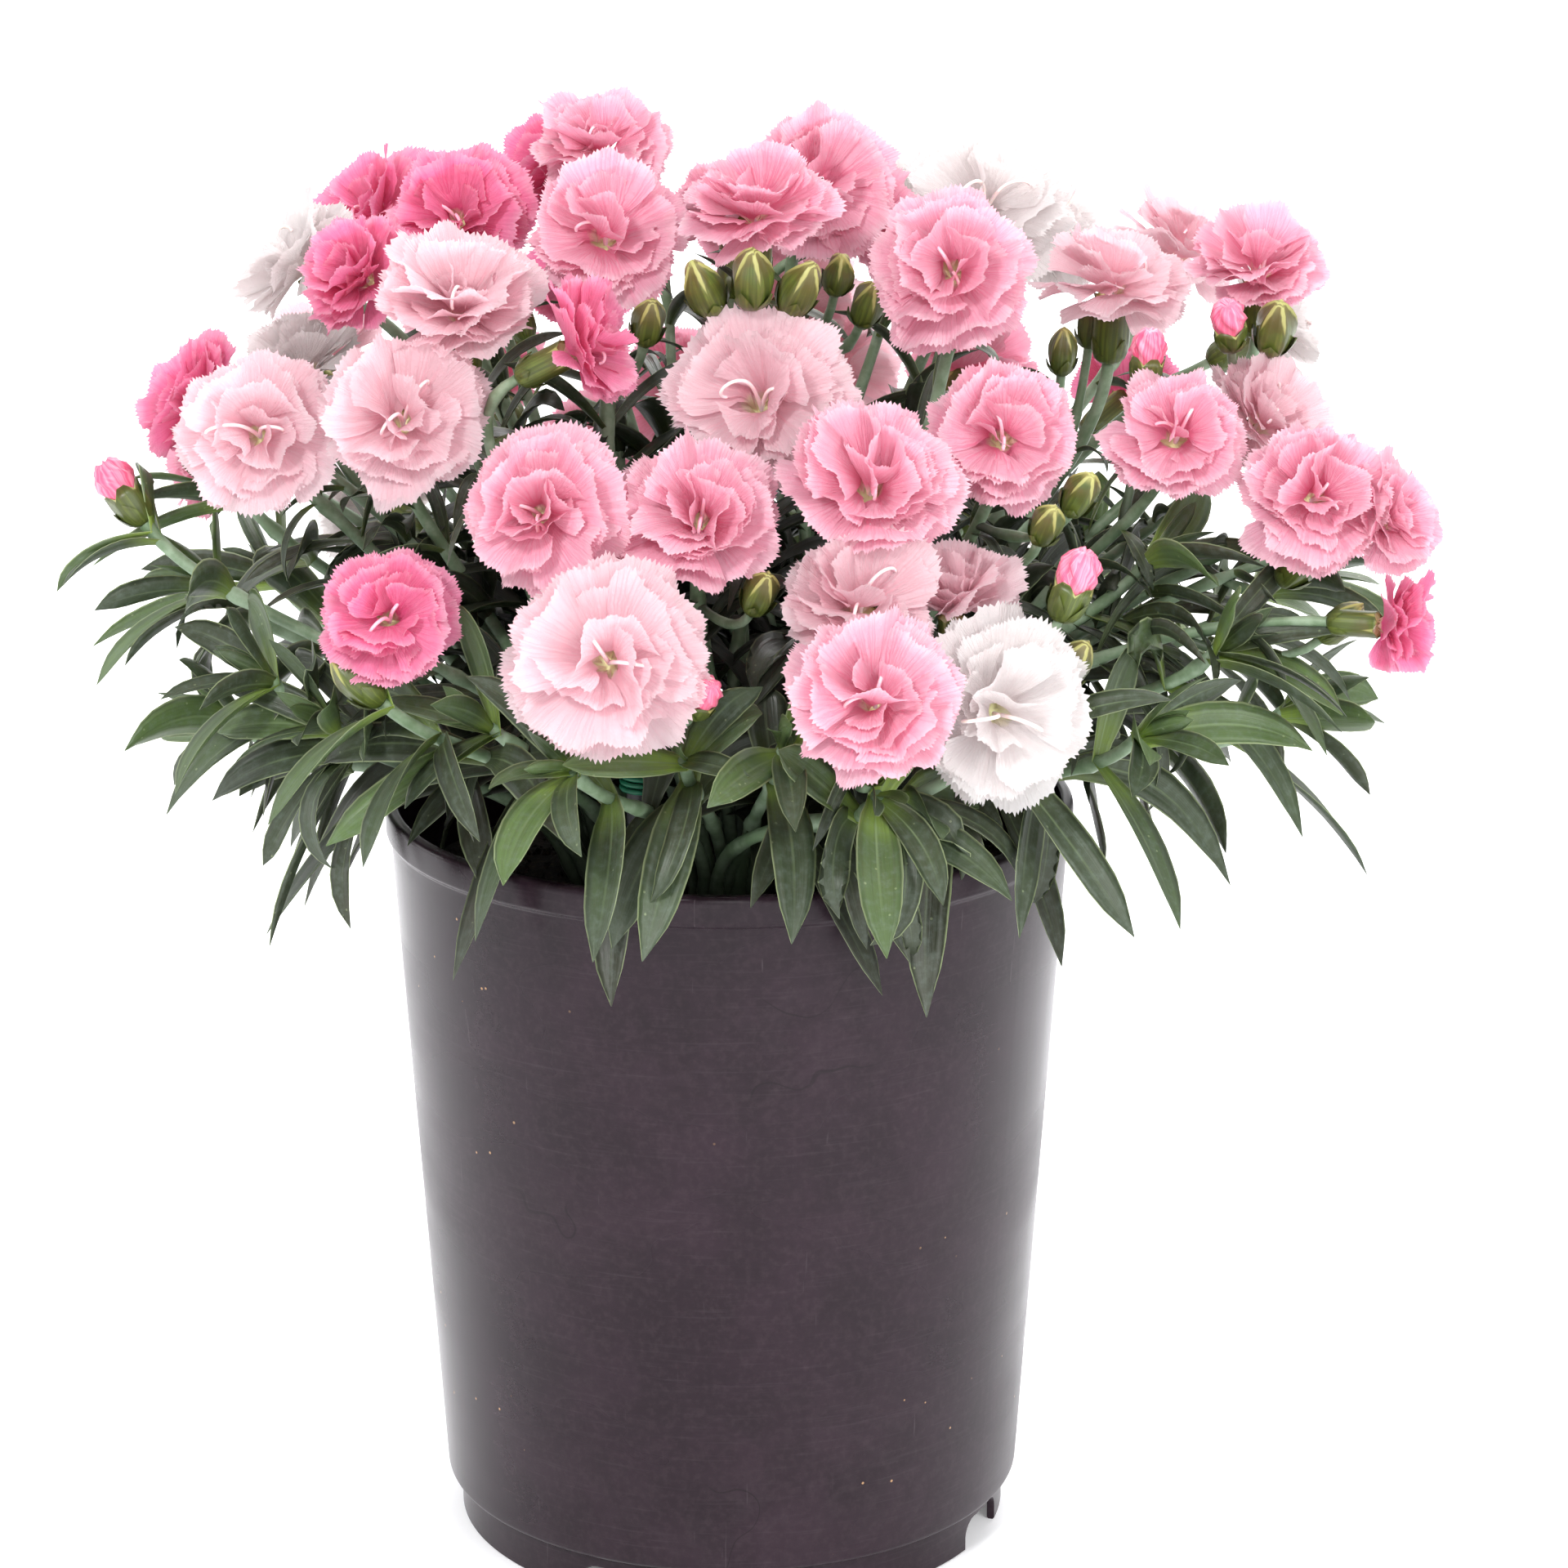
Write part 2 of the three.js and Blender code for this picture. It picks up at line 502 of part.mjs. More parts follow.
// The calyx mouth that holds a bloom, and the directions of its face.
function seatOf(bloom) {
  const normal = facing(bloom.nod, bloom.turn);
  const [side, rise] = acrossFace(normal, bloom.turn);
  const scale = bloomScale(bloom);
  return { seat: along(vec(...bloom.at), normal, -HEAD * scale), normal, side, rise, scale };
}

function bloomScale(bloom) {
  const { wide, least, most } = TYPICAL_BLOOM;
  return THREE.MathUtils.clamp(bloom.wide / wide, least, most);
}

// The edge of one whorl of petals, whose first dip is at "from" degrees: [degrees, reach, height].
function whorlEdge(whorl, bloom, number, level, from) {
  const radius = bloom.wide / 2;
  const edge = [];
  for (let petal = 0; petal < PETALS; petal++) {
    const size = 1 + sway(RUFFLE.size, number, level, petal, 1);
    const tilt = rad(whorl.lift + bloom.cup + sway(RUFFLE.tilt, number, level, petal, 2));
    whorl.marks.forEach(([share, reach], mark) => {
      const dip = mark === 0;
      const out = radius * whorl.reach * reach * (dip ? 1 : size);
      const slip = dip ? 0 : sway(RUFFLE.slip, number, level, petal, 9 + mark);
      const wave = sway(RUFFLE.wave * radius, number, level, petal, 3 + mark);
      edge.push([from + SPAN * (petal + share) + slip, out, (out - CLAW.throat) * Math.tan(tilt) + wave]);
    });
  }
  return edge;
}

// The triangles of one petal between its two root points and its edge, for each whorl. Outer
// petals lie between the root points, middle petals over them and inner ones between them again.
const SPLITS = {
  outer: ([a, b], at) => [
    [a, at(0), at(1)],
    [a, at(1), at(2)],
    [a, at(2), b],
    [b, at(2), at(3)],
    [b, at(3), at(4)],
  ],
  middle: ([a, b], at) => [
    [a, at(-2), at(-1)],
    [a, at(-1), at(0)],
    [a, at(0), b],
    [b, at(0), at(1)],
  ],
  inner: ([a, b], at) => [
    [a, at(0), at(1)],
    [a, at(1), b],
    [b, at(1), at(2)],
  ],
};

// The upper or lower face of a whorl: its petals between a ring of root points and their edge.
function whorlFace(kind, roots, edge, faces, down) {
  const each = WHORLS[kind].marks.length;
  for (let petal = 0; petal < PETALS; petal++) {
    const at = (i) => edge[(petal * each + i + edge.length) % edge.length];
    const ends = [roots[petal], roots[(petal + 1) % PETALS]];
    for (const corners of SPLITS[kind](ends, at)) {
      faces.push(...(down ? corners.reverse() : corners));
    }
  }
}

// A double bloom: three whorls of five petals, each whorl one thin waved sheet whose upper and
// lower faces meet in a sharp edge, on a short bunch of claws that stands in the calyx.
function makeBloom(bloom, number) {
  const { seat, normal, side, rise, scale } = seatOf(bloom);
  const points = [];
  const faces = [];
  const place = (round, out, height) => {
    const a = rad(round);
    const point = along(along(seat, side, out * Math.cos(a)), rise, out * Math.sin(a));
    points.push(along(point, normal, height));
    return points.length - 1;
  };
  const ring = (out, height) => {
    const labels = [];
    for (let i = 0; i < PETALS; i++) labels.push(place(SPAN * i, out * scale, height * scale));
    return labels;
  };
  const edgeOf = (whorl, level, from, base) => {
    const edge = whorlEdge(whorl, bloom, number, level, from);
    return edge.map(([round, out, height]) => place(round, out, base * scale + height));
  };

  const { outer, middle, inner } = WHORLS;
  const clawTip = [place(0, 0, -CLAW.depth * scale)];
  const throat = ring(CLAW.throat, CLAW.rise);
  const outerEdge = edgeOf(outer, 1, 0, CLAW.rise);
  const middleRoot = ring(middle.root, middle.rise);
  const middleEdge = edgeOf(middle, 2, SPAN / 2, middle.rise);
  const innerRoot = ring(inner.root, inner.rise);
  const innerEdge = edgeOf(inner, 3, 0, inner.rise);
  const heart = place(0, 0, HEART * scale);

  band(faces, clawTip, throat, PETALS);
  whorlFace('outer', throat, outerEdge, faces, true);
  whorlFace('outer', middleRoot, outerEdge, faces, false);
  whorlFace('middle', middleRoot, middleEdge, faces, true);
  whorlFace('middle', innerRoot, middleEdge, faces, false);
  whorlFace('inner', innerRoot, innerEdge, faces, true);
  innerEdge.forEach((label, i) => faces.push(heart, label, innerEdge[(i + 1) % innerEdge.length]));
  return solidFrom(points, faces);
}

// ---------------------------------------------------------------------------------------------
// What is in place already, and what a new piece has to pass clear of
// ---------------------------------------------------------------------------------------------

const placed = [];

function settle(owner, solid, clump = null) {
  placed.push({ owner, clump, solid, box: solid.boundingBox() });
}

function boxesApart(a, b) {
  return [0, 1, 2].some((k) => a.min[k] - b.max[k] > BEND_CLEAR || b.min[k] - a.max[k] > BEND_CLEAR);
}

// Whether a solid keeps its distance from everything but the owners, and the clump, it is let touch.
function passes(solid, owners, clump = -1) {
  const box = solid.boundingBox();
  return placed.every(
    (other) =>
      owners.includes(other.owner) ||
      other.clump === clump ||
      boxesApart(box, other.box) ||
      solid.minGap(other.solid, BEND_CLEAR) >= BEND_CLEAR,
  );
}

// ---------------------------------------------------------------------------------------------
// Stems
// ---------------------------------------------------------------------------------------------

// The clump whose part of the pot lies under a point.
function clumpUnder(point) {
  const turn = THREE.MathUtils.radToDeg(Math.atan2(point.x, -point.y));
  return Math.round(((turn + 360) % 360) / (360 / CLUMPS)) % CLUMPS;
}

// Places for stems to start in a crown, spread evenly over it like the seeds of a sunflower.
function rootPlaces(clump, wanted) {
  const centre = crownCentre(clump);
  const places = [];
  for (let i = 0; i < wanted; i++) {
    const away = ROOTS.spread * Math.sqrt((i + 0.5) / wanted);
    const offset = compass(ROOTS.seedTurn * i, away, ROOTS.level);
    places.push(vec(centre.x + offset.x, centre.y + offset.y, ROOTS.level));
  }
  return places;
}

// The free place nearest to where a stem would start if the crown were its clump made small.
function takePlace(places, clump, end) {
  const centre = crownCentre(clump);
  const heart = centre.clone().setLength(ROOTS.heart);
  const wish = vec(
    centre.x + ROOTS.share * (end.x - heart.x),
    centre.y + ROOTS.share * (end.y - heart.y),
    ROOTS.level,
  );
  places.sort((a, b) => a.distanceTo(wish) - b.distanceTo(wish));
  return places.shift();
}

// A stem's middle line: it starts upright and ends along "finish"; "bow" bends it sideways.
function stemPath(root, end, finish, bow) {
  const reach = root.distanceTo(end);
  const level = vec(end.x - root.x, end.y - root.y, 0);
  const aside = new THREE.Vector3().crossVectors(UP, level).normalize();
  const upward = along(root, UP, STEM.climb * reach);
  const first = along(along(upward, level, STEM.lean), aside, bow);
  const second = along(along(end, finish, -STEM.finish * reach), aside, bow);
  return new THREE.CubicBezierCurve3(root, first, second, end);
}

// Rings of a round section at a path's stops, kept from twisting from its end back.
function ringsOn(path, radii, sides, across) {
  const rings = [];
  let side = across;
  for (let i = STOPS.length - 1; i >= 0; i--) {
    const tangent = path.getTangent(STOPS[i]);
    side = squareTo(side, tangent);
    rings.unshift(roundRing(path.getPoint(STOPS[i]), tangent, side, radii[i], sides));
  }
  return rings;
}

function roundRing(centre, axis, side, radius, sides) {
  const rise = new THREE.Vector3().crossVectors(axis, side);
  const ring = [];
  for (let i = 0; i < sides; i++) {
    const a = (2 * Math.PI * i) / sides;
    ring.push(along(along(centre, side, radius * Math.cos(a)), rise, radius * Math.sin(a)));
  }
  return ring;
}

// A flowering stem with its calyx, whose open mouth holds the bloom's claws.
function flowerStem(bloom, path) {
  const { seat, normal, side, scale } = seatOf(bloom);
  const { radius, neck, sides } = STEM;
  const rings = ringsOn(path, [radius, radius, radius, neck], sides, side);
  const belly = along(seat, normal, -CALYX.bellyAt * scale);
  rings.push(roundRing(belly, normal, side, CALYX.belly * scale, sides));
  rings.push(roundRing(seat, normal, side, CALYX.mouth * scale, sides));
  rings.push([along(seat, normal, -CALYX.socket * scale)]);
  return loft(rings);
}

// The point at the back of a bloom's calyx, where its stem ends.
function calyxFoot(bloom) {
  const { seat, normal, scale } = seatOf(bloom);
  return along(seat, normal, -CALYX.length * scale);
}

// A point on a stem's straight stretches at a share of its path, and the stem's direction there.
function pointOn(path, share) {
  const last = STOPS.findIndex((stop) => stop >= share);
  const low = path.getPoint(STOPS[last - 1]);
  const high = path.getPoint(STOPS[last]);
  const part = (share - STOPS[last - 1]) / (STOPS[last] - STOPS[last - 1]);
  return { node: low.clone().lerp(high, part), axis: high.sub(low).normalize() };
}

// Where a pair of leaves grows from a stem: its node, and its root inside the stem below that.
function leafSeat(path, share) {
  return { ...pointOn(path, share), root: pointOn(path, share - LEAF.below).node };
}

// A closed bud on its own short stalk from a point inside a stem.
function makeBud(from, at, size) {
  const axis = along(at.clone().sub(from).normalize(), UP, BUD.upright).normalize();
  const half = (BUD.length * size) / 2;
  const base = along(at, axis, -half);
  const side = squareTo(vec(1, 0, 0), axis);
  return loft([
    [from],
    roundRing(base, axis, side, BUD.foot * size, BUD.sides),
    roundRing(along(at, axis, -BUD.waist * half), axis, side, BUD.radius * size, BUD.sides),
    [along(at, axis, half)],
  ]);
}

// ---------------------------------------------------------------------------------------------
// Leaves
// ---------------------------------------------------------------------------------------------

// One leaf: it roots in the stem a little below its node, arches over and hangs towards its tip.
// Its section is a shallow triangle, two edges and the keel under the midrib.
function makeLeaf(pair, side) {
  const { root, node, axis, round, rise, length, width, droop, stations } = pair;
  const zero = squareTo(Math.abs(axis.x) < 0.9 ? vec(1, 0, 0) : vec(0, 1, 0), axis);
  const out = zero.applyAxisAngle(axis, rad(round + side));
  const start = along(out.multiplyScalar(Math.cos(rad(rise))), axis, Math.sin(rad(rise)));
  const tip = along(along(node, start, length * (1 - LEAF.shrink * droop)), UP, -droop * length);
  const curve = new THREE.QuadraticBezierCurve3(node, along(node, start, LEAF.handle * length), tip);
  const across = new THREE.Vector3().crossVectors(start, axis).normalize();
  const rings = stations.map(([share, wide]) => {
    const middle = curve.getPoint(share);
    const tangent = curve.getTangent(share);
    const edge = squareTo(across, tangent);
    const under = new THREE.Vector3().crossVectors(tangent, edge);
    const half = (wide * width) / 2;
    return [along(middle, edge, -half), along(middle, edge, half), along(middle, under, LEAF.keel)];
  });
  return loft([[root], ...rings, [tip]]);
}

// Two opposite leaves at a node of a stem.
function leafPair(pair) {
  return [makeLeaf(pair, 0), makeLeaf(pair, 180)];
}

// The first of the ways tried in which a pair of leaves passes everything else, or none.
function fitPair(pair, stem) {
  for (const [turn, size] of TURNS_TRIED) {
    const leaves = leafPair({ ...pair, round: pair.round + turn, length: pair.length * size });
    if (leaves.every((leaf) => passes(leaf, [stem]))) return leaves;
  }
  return [];
}

// ---------------------------------------------------------------------------------------------
// Clumps: each is one plant's crown, stems, buds and leaves grown together
// ---------------------------------------------------------------------------------------------

function makeCrown(clump) {
  const centre = crownCentre(clump);
  const { radius, bottom, top, sides } = CROWN;
  return turned([[0, bottom], [radius, bottom], [radius, top], [0, top]], sides, centre.x, centre.y);
}

function clumpName(clump) {
  return `plant_${['front', 'front_right', 'back_right', 'back', 'back_left', 'front_left'][clump]}`;
}

function shootFinish(tip) {
  return along(UP, vec(tip.x, tip.y, 0).normalize(), SHOOT.outward).normalize();
}

// A leafy shoot's stem with the bud or the spindle of young leaves at its end.
function shootStem(shoot, path) {
  const { radius, sides } = SHOOT;
  const spindle = shoot.bud > 0 ? BUD.length * shoot.bud : SHOOT.spindle;
  const fold = shoot.bud > 0 ? BUD.radius * shoot.bud : SHOOT.fold;
  const rings = ringsOn(path, STOPS.map(() => radius), sides, vec(1, 0, 0));
  const tip = path.getPoint(1);
  const ahead = path.getTangent(1);
  const waist = along(tip, ahead, SHOOT.waist * spindle);
  rings.push(roundRing(waist, ahead, squareTo(vec(1, 0, 0), ahead), fold, sides));
  rings.push([along(tip, ahead, spindle)]);
  return loft(rings);
}

// The pairs of leaves on a leafy shoot. Each stands a quarter turn from the last.
function shootLeaves(shoot, number, path) {
  const pairs = [];
  const { first, reach, rise, riseLost, youngLength, youngDroop } = PAIRS;
  for (let i = 0; i < shoot.pairs; i++) {
    const age = i / (shoot.pairs - 1);
    const grown = youngLength + (1 - youngLength) * age;
    pairs.push({
      ...leafSeat(path, first - (reach * i) / shoot.pairs),
      round: shoot.spin + 90 * i + sway(12, number, i, 41),
      rise: rise - riseLost * age + sway(8, number, i, 42),
      length: shoot.long * grown * (1 + sway(0.1, number, i, 43)),
      width: LEAF.width * (1 + sway(0.08, number, i, 44)),
      droop: shoot.hang * (youngDroop + (1 - youngDroop) * age) + sway(0.06, number, i, 45),
      stations: shoot.tip[1] < FRONT ? LONG_LEAF : SHORT_LEAF,
    });
  }
  return pairs;
}

// The pair of leaves on a flowering stem, smaller than those on a leafy shoot.
function stemLeaves(number, path) {
  const { share, rise, length, width, droop } = STEM_PAIR;
  return {
    ...leafSeat(path, share + sway(0.08, number, 51)),
    round: 360 * chance(number, 52),
    rise: rise + sway(8, number, 53),
    length: length * (1 + sway(0.2, number, 54)),
    width,
    droop: droop + sway(0.12, number, 55),
    stations: SHORT_LEAF,
  };
}

// ---------------------------------------------------------------------------------------------
// Putting it together
// ---------------------------------------------------------------------------------------------

const object = new THREE.Group();
const vessel = new THREE.Group();
const flowers = new THREE.Group();
const greenery = new THREE.Group();
object.add(vessel, flowers, greenery);

function addPiece(group, name, solid, finish) {
  const { numProp, vertProperties, triVerts } = solid.getMesh();
  const geometry = new THREE.BufferGeometry();
  geometry.setAttribute('position', new THREE.Float32BufferAttribute(vertProperties, numProp));
  geometry.setIndex([...triVerts]);
  geometry.computeVertexNormals();
  const material = new THREE.MeshStandardMaterial({ ...FINISHES[finish], metalness: 0 });
  const mesh = new THREE.Mesh(geometry, material);
  mesh.name = name;
  group.add(mesh);
}

function addVessel() {
  for (const [name, solid, finish] of [
    ['pot', makePot(), 'plastic'],
    ['soil', makeSoil(), 'soil'],
    ['stake', makeStake(), 'stake'],
    ['tie_wire', makeTie(), 'wire'],
  ]) {
    settle(name, solid);
    addPiece(vessel, name, solid, finish);
  }
}

function addBlooms() {
  const heads = new Map();
  BLOOMS.forEach((bloom, i) => {
    const solid = makeBloom(bloom, i + 1);
    settle(`bloom ${i + 1}`, solid);
    const head = heads.get(bloom.node) ?? { solids: [], tint: bloom.tint };
    head.solids.push(solid);
    heads.set(bloom.node, head);
  });
  for (const [name, { solids, tint }] of heads) addPiece(flowers, name, grownTogether(solids), tint);
}

// The least bowed way for a stem to grow that passes everything else, or at least other clumps.
function growStem({ name, clump, held, end, finish, shape }, places) {
  const root = takePlace(places, clump, end);
  const grown = BOWS.map((bow) => {
    const path = stemPath(root, end, finish, bow);
    return { name, clump, path, solid: shape(path) };
  });
  const stem =
    grown.find(({ solid }) => passes(solid, held)) ??
    grown.find(({ solid }) => passes(solid, held, clump)) ??
    grown[0];
  settle(name, stem.solid, clump);
  return stem;
}

// The flowering stems and then the leafy shoots, each from a place of its own in its clump's crown.
function growStems() {
  const flowering = BLOOMS.map((bloom, i) => ({
    name: `stem ${i + 1}`,
    clump: clumpUnder(vec(...bloom.at)),
    held: [`bloom ${i + 1}`, 'soil'],
    end: calyxFoot(bloom),
    finish: facing(bloom.nod, bloom.turn),
    shape: (path) => flowerStem(bloom, path),
  }));
  const leafy = SHOOTS.map((shoot, i) => ({
    name: `shoot ${i + 1}`,
    clump: clumpUnder(vec(...shoot.tip)),
    held: ['soil'],
    end: vec(...shoot.tip),
    finish: shootFinish(vec(...shoot.tip)),
    shape: (path) => shootStem(shoot, path),
  }));
  const plans = [...flowering, ...leafy];
  const places = [];
  for (let clump = 0; clump < CLUMPS; clump++) {
    places.push(rootPlaces(clump, plans.filter((plan) => plan.clump === clump).length));
  }
  const grown = plans.map((plan) => growStem(plan, places[plan.clump]));
  return { stems: grown.slice(0, flowering.length), shoots: grown.slice(flowering.length) };
}

function growBuds(stems) {
  return BUDS.map(({ of, up, at, size }) => {
    const { clump, path } = stems[of - 1];
    const solid = makeBud(pointOn(path, up).node, vec(...at), size);
    settle(`bud of ${of}`, solid, clump);
    return { clump, solid };
  });
}

function growLeaves(stems, shoots) {
  const wanted = [];
  shoots.forEach((stem, i) => {
    shootLeaves(SHOOTS[i], i + 1, stem.path).forEach((pair) => wanted.push({ stem, pair }));
  });
  stems.forEach((stem, i) => {
    if (BLOOMS[i].at[1] < STEM_PAIR.bareBehind) wanted.push({ stem, pair: stemLeaves(i + 1, stem.path) });
  });
  const grown = [];
  for (const { stem, pair } of wanted) {
    for (const solid of fitPair(pair, stem.name)) {
      settle('leaves', solid, stem.clump);
      grown.push({ clump: stem.clump, solid });
    }
  }
  return grown;
}

function addPlants() {
  const { stems, shoots } = growStems();
  const buds = growBuds(stems);
  const leaves = growLeaves(stems, shoots);
  for (let clump = 0; clump < CLUMPS; clump++) {
    const own = [...stems, ...buds, ...shoots, ...leaves].filter((piece) => piece.clump === clump);
    const solids = own.map(({ solid }) => solid);
    addPiece(greenery, clumpName(clump), grownTogether([makeCrown(clump), ...solids]), 'green');
  }
}

addVessel();
addBlooms();
addPlants();

export default object;
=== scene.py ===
"""The looks of a potted dianthus (garden pink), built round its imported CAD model.

Sizes are in millimetres until a mesh is made, which is in metres. +Z is up and the plant's best
side faces -Y. A "turn" is a compass direction in degrees: 0 is -Y, 90 is +X, 180 is +Y. A "nod" is
how far a bloom's face leans over from straight up.
"""

import json
import logging
import math
from dataclasses import dataclass, field, replace
from enum import Enum
from typing import Iterable, Optional, Sequence, Union

import bpy
import numpy as np
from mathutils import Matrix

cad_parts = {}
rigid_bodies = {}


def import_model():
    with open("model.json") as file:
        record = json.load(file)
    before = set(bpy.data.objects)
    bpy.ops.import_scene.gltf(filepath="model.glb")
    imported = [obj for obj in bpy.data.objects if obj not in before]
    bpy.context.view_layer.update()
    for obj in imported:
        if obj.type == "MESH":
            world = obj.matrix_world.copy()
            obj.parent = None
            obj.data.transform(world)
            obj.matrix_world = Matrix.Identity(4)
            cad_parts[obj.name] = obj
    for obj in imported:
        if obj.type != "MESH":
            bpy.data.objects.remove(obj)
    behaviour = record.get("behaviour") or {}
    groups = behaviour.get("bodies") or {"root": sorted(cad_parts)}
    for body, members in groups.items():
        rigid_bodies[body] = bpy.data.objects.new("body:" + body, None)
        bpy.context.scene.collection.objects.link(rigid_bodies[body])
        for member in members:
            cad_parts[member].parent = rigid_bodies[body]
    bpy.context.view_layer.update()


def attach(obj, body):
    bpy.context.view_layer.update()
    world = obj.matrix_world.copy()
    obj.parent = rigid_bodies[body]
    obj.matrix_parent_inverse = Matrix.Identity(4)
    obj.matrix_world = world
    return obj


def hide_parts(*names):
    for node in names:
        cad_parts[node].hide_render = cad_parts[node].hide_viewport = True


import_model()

LOG = logging.getLogger("dianthus")
METRE = 0.001  # one millimetre in metres
UP = np.array([0.0, 0.0, 1.0])

Point = np.ndarray
Place = tuple[float, float, float]
Colour = tuple[float, float, float, float]
Value = Union[float, Sequence[float]]
Piece = bpy.types.Object
Shapes = bpy.types.Collection
Material = bpy.types.Material
Socket = bpy.types.NodeSocket


# ---- Small mathematics ----


def chance(*keys: int) -> float:
    """Gives a number that looks random but depends on its keys alone.

    Args:
        keys: Whole numbers that say what the number is for.

    Returns:
        A number from 0 to 1.
    """
    mask = 0xFFFFFFFF
    mixed = 0x9E3779B9
    for key in keys:
        mixed = ((mixed ^ ((key + 0x7F4A7C15) & mask)) * 0x85EBCA6B) & mask
        mixed ^= mixed >> 13
        mixed = (mixed * 0xC2B2AE35) & mask
        mixed ^= mixed >> 16
    return mixed / 2**32


def sway(size: float, *keys: int) -> float:
    """A number from -size to size that depends on its keys alone."""
    return size * (2 * chance(*keys) - 1)


def unit(vector: Point) -> Point:
    """A vector made one long."""
    return vector / max(float(np.linalg.norm(vector)), 1e-12)


def cos_sin(degrees: float) -> tuple[float, float]:
    """The cosine and the sine of an angle."""
    return math.cos(math.radians(degrees)), math.sin(math.radians(degrees))


def compass(turn: float, radius: float, z: float) -> Point:
    """The point at a turn and a radius round the pot's middle."""
    cos, sin = cos_sin(turn)
    return np.array([radius * sin, -radius * cos, z])


def facing(nod: float, turn: float) -> Point:
    """The direction that leans over by a nod at a turn."""
    cos, sin = cos_sin(nod)
    return compass(turn, sin, cos)


def square_to(vector: Point, axis: Point) -> Point:
    """A vector turned until it is square to an axis."""
    return unit(vector - axis * float(np.dot(vector, axis)))


def turned(vector: Point, axis: Point, degrees: float) -> Point:
    """A vector turned about an axis that is one long."""
    cos, sin = cos_sin(degrees)
    return vector * cos + np.cross(axis, vector) * sin + axis * np.dot(axis, vector) * (1 - cos)


def table(share: Point, stops: Sequence[tuple[float, float]]) -> Point:
    """Values read from a table of (share, value) pairs, with straight lines between them."""
    return np.interp(share, [stop[0] for stop in stops], [stop[1] for stop in stops])


def linear(code: str) -> Colour:
    """Blender's linear red, green, blue and alpha for a colour written as six hex digits."""
    parts = [int(code[i : i + 2], 16) / 255 for i in (0, 2, 4)]
    return *(p / 12.92 if p <= 0.04045 else ((p + 0.055) / 1.055) ** 2.4 for p in parts), 1.0


# ---- The plan: where every bloom, bud and leafy shoot grows, as in the part's source ----


class Tint(Enum):
    """The four colours that the blooms come in."""

    ROSE = "rose"
    PINK = "pink"
    BLUSH = "blush"
    WHITE = "white"


# Place of the bloom's middle (x, y, z), nod, turn, diameter, cup and tint.
BLOOMS = """
-30 20 344 20 0 37 0 pink;      -44 44 333 62 -70 27 12 rose;   -88 40 323 42 -60 34 10 rose
-74 76 319 30 -150 36 5 white;  -104 6 317 55 -85 34 5 white;   -86 -20 318 58 -40 31 8 rose
-65 6 328 48 -15 35 8 rose;     -60 -42 315 24 5 37 14 blush;   -28 -20 328 45 5 38 4 pink
-32 -56 308 62 75 31 14 rose;   7 -34 337 13 10 37 0 pink;      22 6 335 58 14 39 4 pink
63 46 324 38 15 44 0 white;     52 -30 321 64 -5 39 0 pink;     44 94 316 46 170 34 5 white
80 65 315 53 67 36 0 white;     93 14 312 13 10 40 0 blush;     115 74 309 30 95 36 0 blush
127 4 317 20 0 36 4 pink;       136 44 293 66 100 34 0 white;   8 -52 296 42 -3 45 0 blush
33 -84 283 42 8 39 6 pink;      63 -62 289 50 3 37 4 pink;      104 -46 286 48 10 36 4 pink
127 -15 283 42 60 36 6 blush;   136 -50 272 62 18 36 4 pink;    154 -47 266 66 50 29 8 pink
153 -61 244 88 68 22 20 rose;   -127 -10 286 62 -80 32 8 rose;  -108 -44 286 62 -5 40 0 blush
-102 6 292 32 -140 32 6 white;  -73 -56 292 52 8 40 4 blush;    -41 -88 277 64 -8 39 0 pink
-5 -84 275 50 5 38 2 pink;      -25 -76 258 42 5 29 14 rose;    -25 -112 249 72 0 46 -4 blush
-75 -84 252 60 3 33 2 rose;     30 -95 258 40 0 39 2 blush;     33 -124 244 54 0 39 2 pink
61 -108 236 76 14 45 -4 white;  51 -81 255 2 -9 28 22 blush;    36 26 322 66 60 31 6 pink
2 58 318 34 172 38 2 pink;      -38 92 300 50 -162 38 4 rose;   14 100 292 52 176 40 0 blush
-12 122 262 68 -176 37 2 pink;  -66 108 268 64 -150 38 2 pink;  62 108 270 62 152 38 4 pink
-106 74 280 58 -125 37 0 blush; 104 88 268 64 130 34 4 rose;    -128 36 264 70 -105 35 2 pink
26 115 271 64 165 38 2 blush;   -38 124 246 76 -166 34 4 pink;  -92 98 238 76 -140 36 2 white
70 118 234 76 150 38 0 white
"""
SHARED_NODES = {16: 13, 27: 26, 41: 38, 52: 45, 53: 46}  # blooms pressed into the one whose node they share

# Number of the bloom whose stem it grows from, share of the way up that stem, place and size.
BUDS = """
11 .93 -5 -44 319 1.05;  11 .92 6 -48 322 1.1;    11 .95 17 -44 319 1.05;  12 .72 26 -20 318 .85
12 .7 33 -14 310 .95;    9 .74 -18 -32 309 .9;    23 .74 72 -79 272 .85;   23 .8 80 -70 277 .9
19 .93 129 -12 304 1.1;  19 .9 118 -14 304 .9;    17 .66 80 4 295 .8;      17 .72 88 24 298 .8
24 .8 98 -26 298 .9;     26 .74 133 -42 254 1;    28 .7 142 -50 242 .85;   34 .78 8 -86 258 .9
36 .74 -5 -104 238 .8;   39 .7 33 -114 226 .8;    40 .95 77 -91 260 1.05;  40 .95 77 -90 242 .95
44 .76 -56 96 286 .95;   47 .76 -82 94 262 .9;    48 .76 80 100 256 .9
"""
OPENING_BUDS = (9, 12, 16, 18)  # places in the list of the buds whose petals begin to show

